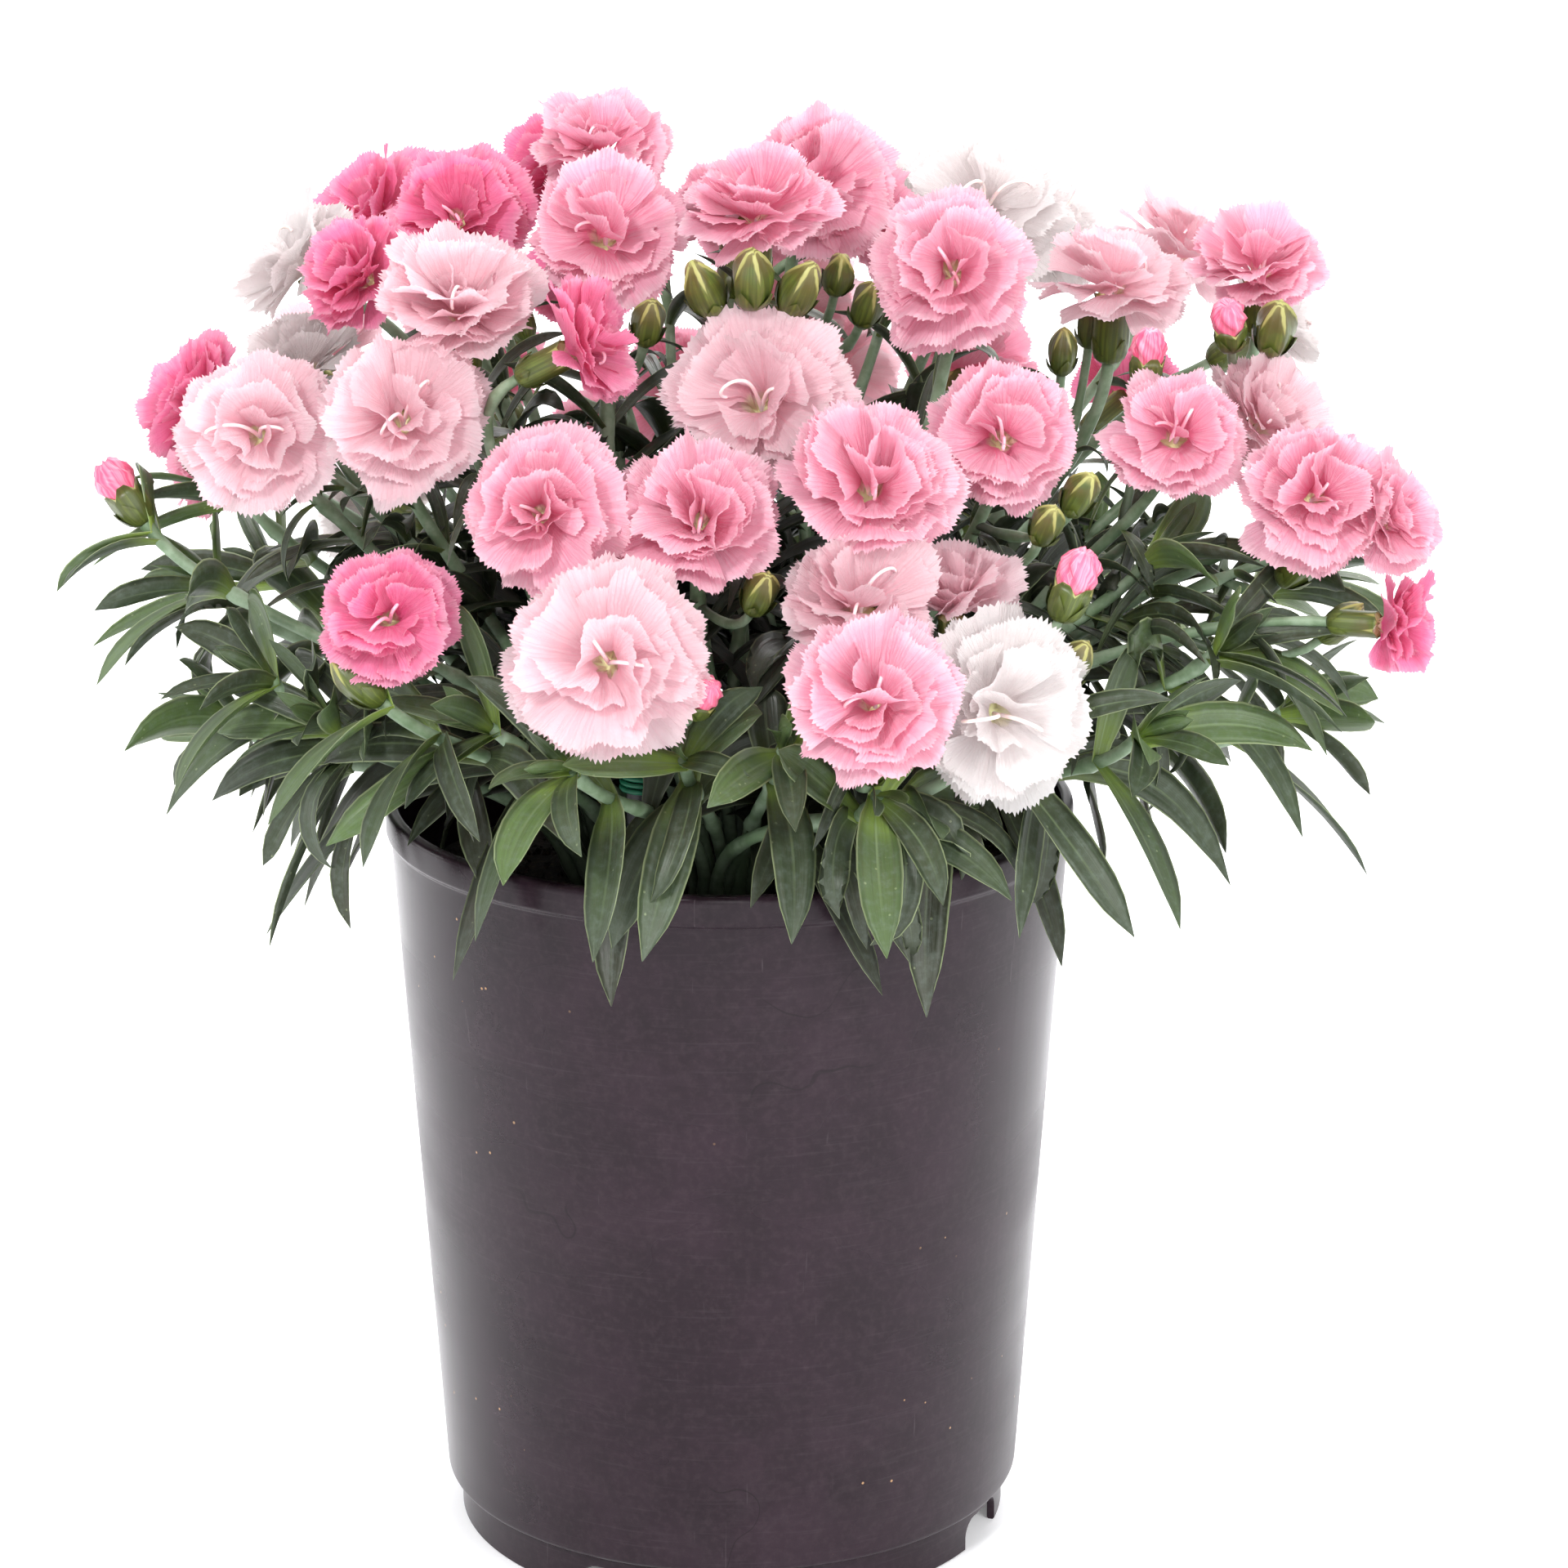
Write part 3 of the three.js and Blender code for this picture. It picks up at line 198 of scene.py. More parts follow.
# Place of the tip, pairs of leaves, longest leaf, spin, hang, and size of the bud at its end.
SHOOTS = """
-138 -18 258 3 34 10 .5 1.05; -118 10 258 3 50 40 .4 0;  -127 20 234 4 47 0 .5 0
-106 -45 227 4 50 60 .55 0;   -118 0 203 4 50 25 .5 0;   -77 -84 232 4 52 10 .55 1
-91 -50 217 4 54 80 .6 0;     -53 -80 225 3 54 20 .5 0;  -34 -100 221 3 48 60 .5 0
-9 -92 221 4 48 0 .5 0;       13 -92 223 3 52 45 .5 0;   34 -106 217 4 50 80 .4 0
53 -98 221 4 52 30 .5 0;      74 -90 230 3 54 65 .5 0;   94 -72 221 4 54 15 .45 0
100 -30 253 3 50 50 .3 0;     114 -50 236 4 52 75 .55 0; 130 -20 245 4 50 30 .5 0
135 0 207 4 50 0 .5 0;        132 40 228 3 52 50 .5 0;   -116 66 224 3 62 0 .5 0
-66 92 214 3 52 0 .45 0;      -26 102 212 3 50 40 .5 0;  14 107 210 3 50 75 .5 0
52 96 214 3 52 20 .45 0;      90 78 220 3 54 60 .5 0
"""

# Which way each stem bows and each pair of leaves is turned so that nothing touches; x has no leaves.
BOWS = (0, 7, -7, 14, -14, 21, -21)
BOWS_TAKEN = "000000000000000000102000000000200000500123000000000000010000303100062000000041020"
TURNS = ((0, 1), (14, 1), (-14, 1), (28, 1), (-28, 1), (42, 0.9), (-42, 0.9), (65, 0.85), (90, 0.85), (0, 0.7),
         (20, 0.7), (-20, 0.7), (45, 0.6), (-45, 0.6))
TURNS_TAKEN = """
0 0 0 0 2 4 0 0 0 0 0 3 0 3 0 x 1 x 7 0 4 4 7 0 4 4 3 2 x 0 6 0 3 0 5 x 1 6 x 2 0 x x x 13 x 2 x 6 0
0 0 1 0 3 1 x 8 0 13 x 2 0 x x 0 0 0 5 0 0 0 0 0 0 0 1 3 0 0 x 0 0 6 0 1 4 0 0 0 5 3 0 1 0 3 1 1 4 0
1 2 0 0 0 0 1 0 6 x 0 7 2 13 2 1 13 2 0 8 12 6 6 3 1 12 x 0 0 7
""".split()

CLUMPS = ("front", "front_right", "back_right", "back", "back_left", "front_left")
SECTOR = 360 / len(CLUMPS)  # degrees of the pot that each clump of stems has
CROWN_AWAY = 34  # from the pot's middle to a clump's crown
CROWN_SPREAD = 7.6  # from a crown's middle to its outermost stem
STEM_FOOT = 165.5  # height at which the stems leave their crown
GOLDEN_TURN = 137.508  # degrees from each stem of a crown to the next
STOPS = (0.0, 0.4, 0.75, 1.0)  # shares of a stem's length between which the CAD stem is straight
FIRST_LOOSE = 1000  # leaves with this number or a higher one aren't in the part's source

# Rise, length and width of the young pairs at a shoot's tip, from the top down.
TIP_PAIRS = ((76, 17, 4.4), (64, 26, 6.2), (50, 34, 7.6))
# Share of the way up a flowering stem, length and width of its extra pairs.
STEM_PAIRS = ((0.2, 48, 9.2), (0.31, 47, 8.8), (0.42, 45, 8), (0.53, 42, 7), (0.65, 35, 5.8), (0.79, 24, 4.4))


def rows(text: str) -> list[list[str]]:
    """The fields of each record in a table that is written with ; or a new line between records."""
    return [part.split() for line in text.splitlines() for part in line.split(";") if part.strip()]


def spot_at(x: str, y: str, z: str) -> Point:
    """The point that three fields of a table give."""
    return np.array([float(x), float(y), float(z)])


@dataclass(frozen=True)
class Bloom:
    """One bloom of the plan, with the sizes of its seat."""

    number: int
    at: Point
    nod: float
    turn: float
    wide: float
    cup: float
    tint: Tint

    @property
    def node(self) -> str:
        """Name of the CAD node that holds this bloom."""
        return f"bloom_{SHARED_NODES.get(self.number, self.number):02d}"

    @property
    def scale(self) -> float:
        """Size of the bloom's calyx against a typical one."""
        return min(max(self.wide / 38, 0.72), 1.15)

    @property
    def normal(self) -> Point:
        """The direction that the bloom's face looks in."""
        return facing(self.nod, self.turn)

    @property
    def side(self) -> Point:
        """The level direction across the bloom's face."""
        return compass(self.turn + 90, 1, 0)

    @property
    def rise(self) -> Point:
        """The other direction across the bloom's face."""
        return np.cross(self.normal, self.side)

    def across_face(self, degrees: float) -> Point:
        """The direction that lies in the bloom's face at an angle from level."""
        cos, sin = cos_sin(degrees)
        return self.side * cos + self.rise * sin

    @property
    def seat(self) -> Point:
        """The middle of the calyx mouth."""
        return self.at - self.normal * 6 * self.scale

    @property
    def foot(self) -> Point:
        """The point at the back of the calyx, where the stem ends."""
        return self.seat - self.normal * 16 * self.scale


@dataclass(frozen=True)
class Shoot:
    """One leafy shoot of the plan, with the size of the bud at its end or 0."""

    tip: Point
    pairs: int
    long: float
    spin: float
    hang: float
    bud: float


@dataclass(frozen=True)
class Bud:
    """One bud of the plan, on the stem of bloom number "of"."""

    of: int
    up: float
    at: Point
    size: float


@dataclass(frozen=True)
class Stem:
    """A stem's middle line, a cubic Bezier curve, and the clump that it belongs to."""

    clump: int
    corners: Point

    def point(self, share: float) -> Point:
        """Finds a point of the line.

        Args:
            share: How far along it, from 0 to 1.

        Returns:
            The point.
        """
        a, b, c, d = self.corners
        rest = 1 - share
        return a * rest**3 + 3 * b * rest**2 * share + 3 * c * rest * share**2 + d * share**3

    def heading(self, share: float) -> Point:
        """The direction of growth a share of the way along."""
        step = 1e-4
        return unit(self.point(min(share + step, 1)) - self.point(max(share - step, 0)))

    def chord(self, share: float) -> Point:
        """The direction of the straight stretch of the CAD stem that holds a share."""
        last = next(i for i, stop in enumerate(STOPS) if stop >= share and i > 0)
        return unit(self.point(STOPS[last]) - self.point(STOPS[last - 1]))


@dataclass(frozen=True)
class Leaf:
    """One leaf as a curved strip: where it starts, its sizes in millimetres and its age."""

    clump: int
    node: Point
    start: Point
    across: Point
    length: float
    width: float
    droop: float
    young: float
    number: int

    @property
    def loose(self) -> float:
        """0 for a leaf that the part's source has too, 1 for one that it leaves out."""
        return float(self.number >= FIRST_LOOSE)

    def middle(self, steps: int) -> Point:
        """Points along the middle line.

        Args:
            steps: How many points.

        Returns:
            The points, from the node to the tip.
        """
        t = np.linspace(0, 1, steps)
        if self.loose:
            down = square_to(-UP, self.start) if abs(self.start[2]) < 0.99 else self.across
            level = np.cross(self.start, down)
            fall = np.radians(185 * self.droop) * t**1.35
            drift = np.tan(np.radians(sway(38, self.number, 71)) * t)
            steer = np.cos(fall)[:, None] * self.start + np.sin(fall)[:, None] * down + drift[:, None] * level
            steer /= np.linalg.norm(steer, axis=1)[:, None]
            middle = (steer[1:] + steer[:-1]) / 2 * self.length / (steps - 1)
            return np.vstack([self.node, self.node + np.cumsum(middle, axis=0)])
        tip = self.node + self.start * self.length * (1 - 0.35 * self.droop) - UP * self.droop * self.length
        handle = self.node + self.start * 0.55 * self.length
        t = t[:, None]
        line = self.node * (1 - t) ** 2 + 2 * handle * t * (1 - t) + tip * t**2
        bend = sway(0.32, self.number, 71) * self.length
        curl = (sway(0.05, self.number, 72) - 0.05) * self.length
        return line + self.across * bend * t**2 + UP * curl * t**3


class Plan:
    """The whole plant as lines and places, worked out by the same rules as the part's source."""

    def __init__(self) -> None:
        """Reads the tables and grows every stem and leaf."""
        self.blooms = []
        for number, (x, y, z, nod, turn, wide, cup, tint) in enumerate(rows(BLOOMS), 1):
            sizes = (float(nod), float(turn), float(wide), float(cup))
            self.blooms.append(Bloom(number, spot_at(x, y, z), *sizes, Tint(tint)))
        self.buds = [Bud(int(of), float(up), spot_at(x, y, z), float(size)) for of, up, x, y, z, size in rows(BUDS)]
        self.shoots = [
            Shoot(spot_at(x, y, z), int(pairs), float(long), float(spin), float(hang), float(bud))
            for x, y, z, pairs, long, spin, hang, bud in rows(SHOOTS)
        ]
        stems = self._grow_stems()
        self.flower_stems = stems[: len(self.blooms)]
        self.shoot_stems = stems[len(self.blooms) :]
        self.leaves: list[Leaf] = []
        self._grow_leaves()
        self.leaves = [self._held_up(leaf) for leaf in self.leaves]
        self._grow_young_leaves()

    @staticmethod
    def crown(clump: int) -> Point:
        """The middle of a clump's crown."""
        return compass(SECTOR * clump, CROWN_AWAY, 0)

    @staticmethod
    def clump_under(point: Point) -> int:
        """The clump whose part of the pot lies under a point."""
        turn = math.degrees(math.atan2(point[0], -point[1])) % 360
        return int(math.floor(turn / SECTOR + 0.5)) % len(CLUMPS)

    def _grow_stems(self) -> list[Stem]:
        """Grows each stem from its own place in its crown.

        Returns:
            The flowering stems and then the leafy shoots, in the order of their tables.
        """
        plans = [(self.clump_under(b.at), b.foot, b.normal) for b in self.blooms]
        for shoot in self.shoots:
            outward = unit(np.array([shoot.tip[0], shoot.tip[1], 0]))
            plans.append((self.clump_under(shoot.tip), shoot.tip, unit(UP + outward * 0.7)))
        places = []
        for clump in range(len(CLUMPS)):
            wanted = sum(plan[0] == clump for plan in plans)
            away = [CROWN_SPREAD * math.sqrt((i + 0.5) / wanted) for i in range(wanted)]
            places.append([self.crown(clump) + compass(GOLDEN_TURN * i, r, STEM_FOOT) for i, r in enumerate(away)])
        stems = []
        for (clump, end, finish), bow in zip(plans, BOWS_TAKEN):
            centre = self.crown(clump)
            heart = unit(centre) * 90
            wish = centre + 0.12 * (end - heart)
            wish[2] = STEM_FOOT
            places[clump].sort(key=lambda spot: float(np.linalg.norm(spot - wish)))
            root = places[clump].pop(0)
            reach = float(np.linalg.norm(end - root))
            level = np.array([end[0] - root[0], end[1] - root[1], 0])
            aside = unit(np.cross(UP, level)) * BOWS[int(bow)]
            first = root + UP * 0.42 * reach + level * 0.12 + aside
            second = end - finish * 0.24 * reach + aside
            stems.append(Stem(clump, np.array([root, first, second, end])))
        return stems

    def _add_pair(self, stem: Stem, share: float, spread: float, rise: float, length: float, width: float,
                  droop: float, young: float, key: int) -> None:
        """Adds two opposite leaves at a node of a stem.

        Args:
            stem: The stem that they grow from.
            share: How far up it.
            spread: Their turn round the stem, in degrees.
            rise: How far they stand up from square to the stem, in degrees.
            length: Length of a leaf.
            width: Greatest width.
            droop: How far the tip hangs down, as a share of the length.
            young: 1 for a young bright leaf, 0 for an old one.
            key: Key of their small differences.
        """
        axis = stem.chord(share)
        cos, sin = cos_sin(rise)
        zero = square_to(np.array([1.0, 0, 0]) if abs(axis[0]) < 0.9 else np.array([0, 1.0, 0]), axis)
        for half in (0, 1):
            out = turned(zero, axis, spread + 180 * half)
            start = out * cos + axis * sin
            base = (stem.clump, stem.point(share), start, unit(np.cross(start, axis)))
            self.leaves.append(Leaf(*base, length, width, droop, young, 2 * key + half))

    def _grow_leaves(self) -> None:
        """Adds the pairs of leaves that the part's source has, with the turns that it found free."""
        taken = iter(TURNS_TAKEN)
        for number, (shoot, stem) in enumerate(zip(self.shoots, self.shoot_stems), 1):
            for i in range(shoot.pairs):
                age = i / (shoot.pairs - 1)
                grown = 0.82 + 0.18 * age
                spread = shoot.spin + 90 * i + sway(12, number, i, 41)
                rise = 44 - 26 * age + sway(8, number, i, 42)
                length = shoot.long * grown * (1 + sway(0.1, number, i, 43))
                width = 10.2 * (1 + sway(0.08, number, i, 44))
                droop = shoot.hang * (0.5 + 0.5 * age) + sway(0.06, number, i, 45)
                choice = next(taken)
                if choice != "x":
                    turn, size = TURNS[int(choice)]
                    self._add_pair(stem, 0.97 - 0.6 * i / shoot.pairs, spread + turn, rise, length * size,
                                   width, droop, 0.85 - 0.75 * age, 10 * number + i)
        for number, (bloom, stem) in enumerate(zip(self.blooms, self.flower_stems), 1):
            if bloom.at[1] < 60:
                spread = 360 * chance(number, 52)
                choice = next(taken)
                if choice != "x":
                    turn, size = TURNS[int(choice)]
                    self._add_pair(stem, 0.5 + sway(0.08, number, 51), spread + turn, 42 + sway(8, number, 53),
                                   44 * (1 + sway(0.2, number, 54)) * size, 8.67, 0.35 + sway(0.12, number, 55),
                                   0.2, 400 + number)

    @staticmethod
    def _held_up(leaf: Leaf, floor: float = 163) -> Leaf:
        """Makes a leaf shorter where its tip would hang far down the pot.

        Args:
            leaf: The leaf.
            floor: The lowest that its tip may hang.

        Returns:
            The leaf, or a shorter one.
        """
        while leaf.middle(3)[-1][2] < floor and leaf.length > 30:
            leaf = replace(leaf, length=leaf.length * 0.97, droop=leaf.droop * 0.92)
        return leaf

    def _is_free(self, leaf: Leaf) -> bool:
        """Tells whether a leaf keeps clear of the blooms, the pot and the room before the tie wire.

        Args:
            leaf: The leaf.

        Returns:
            Whether it is clear.
        """
        for point in leaf.middle(5)[1:]:
            x, y, z = point
            away = math.hypot(x, y)
            before_tie = abs(x + 21) < 9 and y < -52 and abs(z - 192 + 0.29 * y) < 11
            in_pot = away < 91 and z < (190 if away > 75 else 168)
            if before_tie or in_pot or z < 156:
                return False
            for bloom in self.blooms:
                offset = point - bloom.at
                if np.dot(offset, offset) < (0.52 * bloom.wide + 2) ** 2:
                    return False
        return True

    def _grow_young_leaves(self) -> None:
        """Adds leaves that the part's source leaves out: at shoot tips, in axils and up the stems."""
        sure = len(self.leaves)
        for number, (shoot, stem) in enumerate(zip(self.shoots, self.shoot_stems), 1):
            if not shoot.bud:
                for i, (rise, length, width) in enumerate(TIP_PAIRS):
                    self._add_pair(stem, 1 - 0.012 * i, shoot.spin + 45 + 90 * i, rise + sway(10, number, i, 81),
                                   length * (1 + sway(0.15, number, i, 82)), width, 0.06 + 0.08 * i,
                                   (0.5 + 0.5 * chance(number, 80)) * (1 - 0.2 * i), 500 + 10 * number + i)
            for i in range(shoot.pairs - 1):
                if chance(number, i, 88) < 0.6:
                    continue
                spread = shoot.spin + 90 * i + 45 + sway(35, number, i, 83)
                self._add_pair(stem, 0.94 - 0.55 * i / shoot.pairs, spread, 44 + sway(18, number, i, 84),
                               shoot.long * (0.8 + sway(0.16, number, i, 85)), 7.4 + sway(1.2, number, i, 86),
                               0.5 + sway(0.3, number, i, 87), 0.42 - 0.08 * i, 900 + 10 * number + i)
        for number, stem in enumerate(self.flower_stems, 1):
            for i, (share, length, width) in enumerate(STEM_PAIRS):
                droop = 0.52 - 0.03 * i + sway(0.26, number, i, 95)
                self._add_pair(stem, share + sway(0.03, number, i, 91), 360 * chance(number, i, 92),
                               46 + sway(16, number, i, 93), length * (1 + sway(0.2, number, i, 94)),
                               width * (0.84 + sway(0.16, number, i, 96)), droop, 0.05 + 0.06 * i,
                               1300 + 10 * number + i)
        self.leaves[sure:] = [leaf for leaf in self.leaves[sure:] if self._is_free(leaf)]


# ---- Meshes ----


ATTRIBUTES = {int: ("INT", "value", np.int32), float: ("FLOAT", "value", np.float32)}


def put_in_scene(name: str, data: bpy.types.ID) -> Piece:
    """Makes an object and links it to the scene.

    Args:
        name: Its name.
        data: Its mesh, lamp or camera.

    Returns:
        The object.
    """
    made = bpy.data.objects.new(name, data)
    bpy.context.scene.collection.objects.link(made)
    return made


@dataclass
class Sketch:
    """Points in millimetres with edges or faces between them, and named values on each point."""

    points: list[Point] = field(default_factory=list)
    edges: list[tuple[int, int]] = field(default_factory=list)
    faces: list[tuple[int, ...]] = field(default_factory=list)
    values: dict[str, list[Value]] = field(default_factory=dict)

    def spot(self, point: Point, **values: Value) -> int:
        """Adds a point.

        Args:
            point: Where it is.
            values: Its named numbers, vectors or whole numbers.

        Returns:
            Its index.
        """
        self.points.append(np.asarray(point, float))
        for name, value in values.items():
            self.values.setdefault(name, []).append(value)
        return len(self.points) - 1

    def spin(self, share: float, radius: float, z: float, along: float, pink: float = 0.0) -> int:
        """Adds a point of a green shape that is turned about +Y.

        Args:
            share: Its share of the way round.
            radius: How far it is from the axis.
            z: How far along the axis it is.
            along: Its place between foot and tip, from 0 to 1, or more inside the mouth.
            pink: 1 on a petal, 0 on green.

        Returns:
            Its index.
        """
        angle = 2 * math.pi * share
        point = np.array([radius * math.cos(angle), z, radius * math.sin(angle)])
        return self.spot(point, along=float(along), across=float(abs(2 * share - 1)), pink=pink)

    def line(self, points: Iterable[Point], closed: bool = False, **values: Sequence[Value]) -> None:
        """Adds a chain of points.

        Args:
            points: The points, in order.
            closed: Whether the last joins the first.
            values: For each name, the value at every point.
        """
        labels = [
            self.spot(point, **{name: series[i] for name, series in values.items()})
            for i, point in enumerate(points)
        ]
        self.edges += list(zip(labels, labels[1:]))
        if closed:
            self.edges.append((labels[-1], labels[0]))

    def strip(self, low: Sequence[int], high: Sequence[int], closed: bool = False) -> None:
        """Adds quads between two equally long rows of points.

        Args:
            low: One row.
            high: The other.
            closed: Whether the rows are rings.
        """
        count = len(low) if closed else len(low) - 1
        for i in range(count):
            j = (i + 1) % len(low)
            self.faces.append((low[i], low[j], high[j], high[i]))

    def sleeve(self, loops: Sequence[Sequence[int]], closed: bool = True, turned_over: bool = False) -> None:
        """Adds quads between each row of points and the next, which may be turned over."""
        for low, high in zip(loops, loops[1:]):
            self.strip(*((high, low) if turned_over else (low, high)), closed)

    def fan(self, row: Sequence[int], tip: int) -> None:
        """Closes a ring of points to one point."""
        for i, label in enumerate(row):
            self.faces.append((label, row[(i + 1) % len(row)], tip))

    def take(self, name: str) -> Piece:
        """Makes the sketch an object, in metres, with its values as attributes.

        Args:
            name: The object's name.

        Returns:
            The object.
        """
        mesh = bpy.data.meshes.new(name)
        mesh.from_pydata([tuple(p * METRE) for p in self.points], self.edges, self.faces)
        for key, series in self.values.items():
            kind, part, number = ATTRIBUTES.get(type(series[0]), ("FLOAT_VECTOR", "vector", np.float32))
            layer = mesh.attributes.new(key, kind, "POINT")
            layer.data.foreach_set(part, np.array(series, number).ravel())
        return put_in_scene(name, mesh)


def smooth(piece: Piece, material: Material, angle: Optional[float] = None) -> Piece:
    """Shades a piece smooth and gives it its material.

    Args:
        piece: The piece.
        material: Its only material.
        angle: Edges sharper than this, in degrees, stay sharp.

    Returns:
        The piece.
    """
    mesh = piece.data
    mesh.polygons.foreach_set("use_smooth", [True] * len(mesh.polygons))
    if angle is not None:
        mesh.set_sharp_from_angle(angle=math.radians(angle))
    mesh.materials.clear()
    mesh.materials.append(material)
    return piece


def hand_over(piece: Piece, slot: str, *nodes: str) -> None:
    """Lets a finished piece ride on the plant and stand for CAD nodes.

    Args:
        piece: The finished piece.
        slot: The record's material slot of its finish; not used.
        nodes: The CAD nodes that it replaces.
    """
    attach(piece, "root")
    if nodes:
        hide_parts(*nodes)
    LOG.info("%s: %d faces", piece.name, len(piece.data.polygons))


# ---- Geometry Nodes ----

SOCKETS = {float: "NodeSocketFloat", int: "NodeSocketInt", Piece: "NodeSocketObject",
           Shapes: "NodeSocketCollection", Material: "NodeSocketMaterial"}
FULL_TURN = 6.28  # radians, the most that a crumb is turned about each axis


class NodeGraph:
    """A node tree that is built a node at a time."""

    def __init__(self, tree: bpy.types.NodeTree) -> None:
        """Starts from a tree."""
        self.tree = tree

    def put(self, kind: str, feeds: Optional[dict[Union[str, int], object]] = None,
            **settings: object) -> bpy.types.Node:
        """Adds a node.

        Args:
            kind: Its type.
            feeds: For each of its inputs, the socket or value that feeds it.
            settings: Its other properties.

        Returns:
            The node.
        """
        node = self.tree.nodes.new(kind)
        for key, value in settings.items():
            setattr(node, key, value)
        for key, value in (feeds or {}).items():
            if isinstance(value, Socket):
                self.tree.links.new(value, node.inputs[key])
            else:
                node.inputs[key].default_value = value
        return node

    def maths(self, operation: str, *terms: object, clamp: bool = False) -> Socket:
        """The result of a sum on numbers."""
        return self.put("ShaderNodeMath", dict(enumerate(terms)), operation=operation, use_clamp=clamp).outputs[0]

    def times(self, first: object, second: object) -> Socket:
        """The product of two numbers."""
        return self.maths("MULTIPLY", first, second)

    def span(self, value: object, low: float, high: float, to_low: float = 0.0, to_high: float = 1.0) -> Socket:
        """A value that runs smoothly between two numbers as another value goes from low to high."""
        return self.put("ShaderNodeMapRange", {0: value, 1: low, 2: high, 3: to_low, 4: to_high},
                        interpolation_type="SMOOTHSTEP").outputs[0]


class GeometryTree(NodeGraph):
    """A Geometry Nodes tree with named inputs."""

    def __init__(self, name: str, **inputs: Union[float, int, type]) -> None:
        """Starts the tree.

        Args:
            name: Its name.
            inputs: Its named inputs: a number with its usual value, or the type of what is given.
        """
        super().__init__(bpy.data.node_groups.new(name, "GeometryNodeTree"))
        face = self.tree.interface
        face.new_socket("Geometry", in_out="INPUT", socket_type="NodeSocketGeometry")
        for label, value in {**inputs, "finish": Material}.items():
            kind = value if isinstance(value, type) else type(value)
            socket = face.new_socket(label, in_out="INPUT", socket_type=SOCKETS[kind])
            if not isinstance(value, type):
                socket.default_value = value
        face.new_socket("Geometry", in_out="OUTPUT", socket_type="NodeSocketGeometry")
        self.start = self.tree.nodes.new("NodeGroupInput")

    def entry(self, label: str) -> Socket:
        """The socket that gives a named input."""
        return self.start.outputs[label]

    def read(self, name: str, kind: str = "FLOAT") -> Socket:
        """The value of a named attribute."""
        return self.put("GeometryNodeInputNamedAttribute", {"Name": name}, data_type=kind).outputs[0]

    def vector(self, operation: str, *terms: object) -> Socket:
        """The result of a sum on vectors."""
        feeds = {3 if operation == "SCALE" and i == 1 else i: term for i, term in enumerate(terms)}
        return self.put("ShaderNodeVectorMath", feeds, operation=operation).outputs[0]

    def members(self, label: str) -> Socket:
        """The single shapes of a collection that a named input gives."""
        feeds = {"Collection": self.entry(label), "Separate Children": True, "Reset Children": True}
        return self.put("GeometryNodeCollectionInfo", feeds).outputs[0]

    def end(self, geometry: Socket) -> None:
        """Ends the tree in real, smooth geometry with its finish.

        Args:
            geometry: What comes out of the tree so far.
        """
        real = self.put("GeometryNodeRealizeInstances", {0: geometry})
        soft = self.put("GeometryNodeSetShadeSmooth", {0: real.outputs[0]})
        dressed = self.put("GeometryNodeSetMaterial", {0: soft.outputs[0], "Material": self.entry("finish")})
        self.put("NodeGroupOutput", {0: dressed.outputs[0]})

    def grow(self, base: Piece, name: str, **inputs: object) -> Piece:
        """Runs the tree over an object and keeps only the plain mesh that comes out.

        Args:
            base: The object that the tree starts from, which is used up.
            name: Name of the finished piece.
            inputs: Values of the named inputs.

        Returns:
            The finished piece.
        """
        modifier = base.modifiers.new(name, "NODES")
        modifier.node_group = self.tree
        labels = {item.name: item.identifier for item in self.tree.interface.items_tree if item.in_out == "INPUT"}
        for key, value in inputs.items():
            modifier[labels[key]] = value
        seen = base.evaluated_get(bpy.context.evaluated_depsgraph_get())
        mesh = bpy.data.meshes.new_from_object(seen)
        base.modifiers.remove(modifier)
        bpy.data.objects.remove(base)
        mesh.name = name
        return put_in_scene(name, mesh)


def sweep_tree() -> GeometryTree:
    """Makes a tree that carries a section along every line of a mesh, with swollen joints on the way.

    Returns:
        The tree.
    """
    tree = GeometryTree("sweep", section=Piece, swelling=0.0, spacing=0.026)
    lines = tree.put("GeometryNodeMeshToCurve", {0: tree.entry("Geometry")})
    set_up = tree.put("GeometryNodeSetCurveNormal", {
        "Curve": lines.outputs[0], "Normal": tree.read("facing", "FLOAT_VECTOR")}, mode="FREE")
    shape = tree.put("GeometryNodeObjectInfo", {"Object": tree.entry("section")})
    ring = tree.put("GeometryNodeMeshToCurve", {0: shape.outputs["Geometry"]})
    along = tree.put("GeometryNodeSplineParameter").outputs["Length"]
    cycle = tree.maths("FRACT", tree.maths("DIVIDE", along, tree.entry("spacing")))
    away = tree.maths("ABSOLUTE", tree.maths("SUBTRACT", cycle, 0.5))
    bulge = tree.span(away, 0.0, 0.13, 1.0, 0.0)
    swollen = tree.maths("MULTIPLY_ADD", bulge, tree.entry("swelling"), 1.0)
    skin = tree.put("GeometryNodeCurveToMesh", {
        "Curve": set_up.outputs[0], "Profile Curve": ring.outputs[0],
        "Scale": tree.times(tree.read("girth"), swollen), "Fill Caps": True})
    tree.end(skin.outputs[0])
    return tree


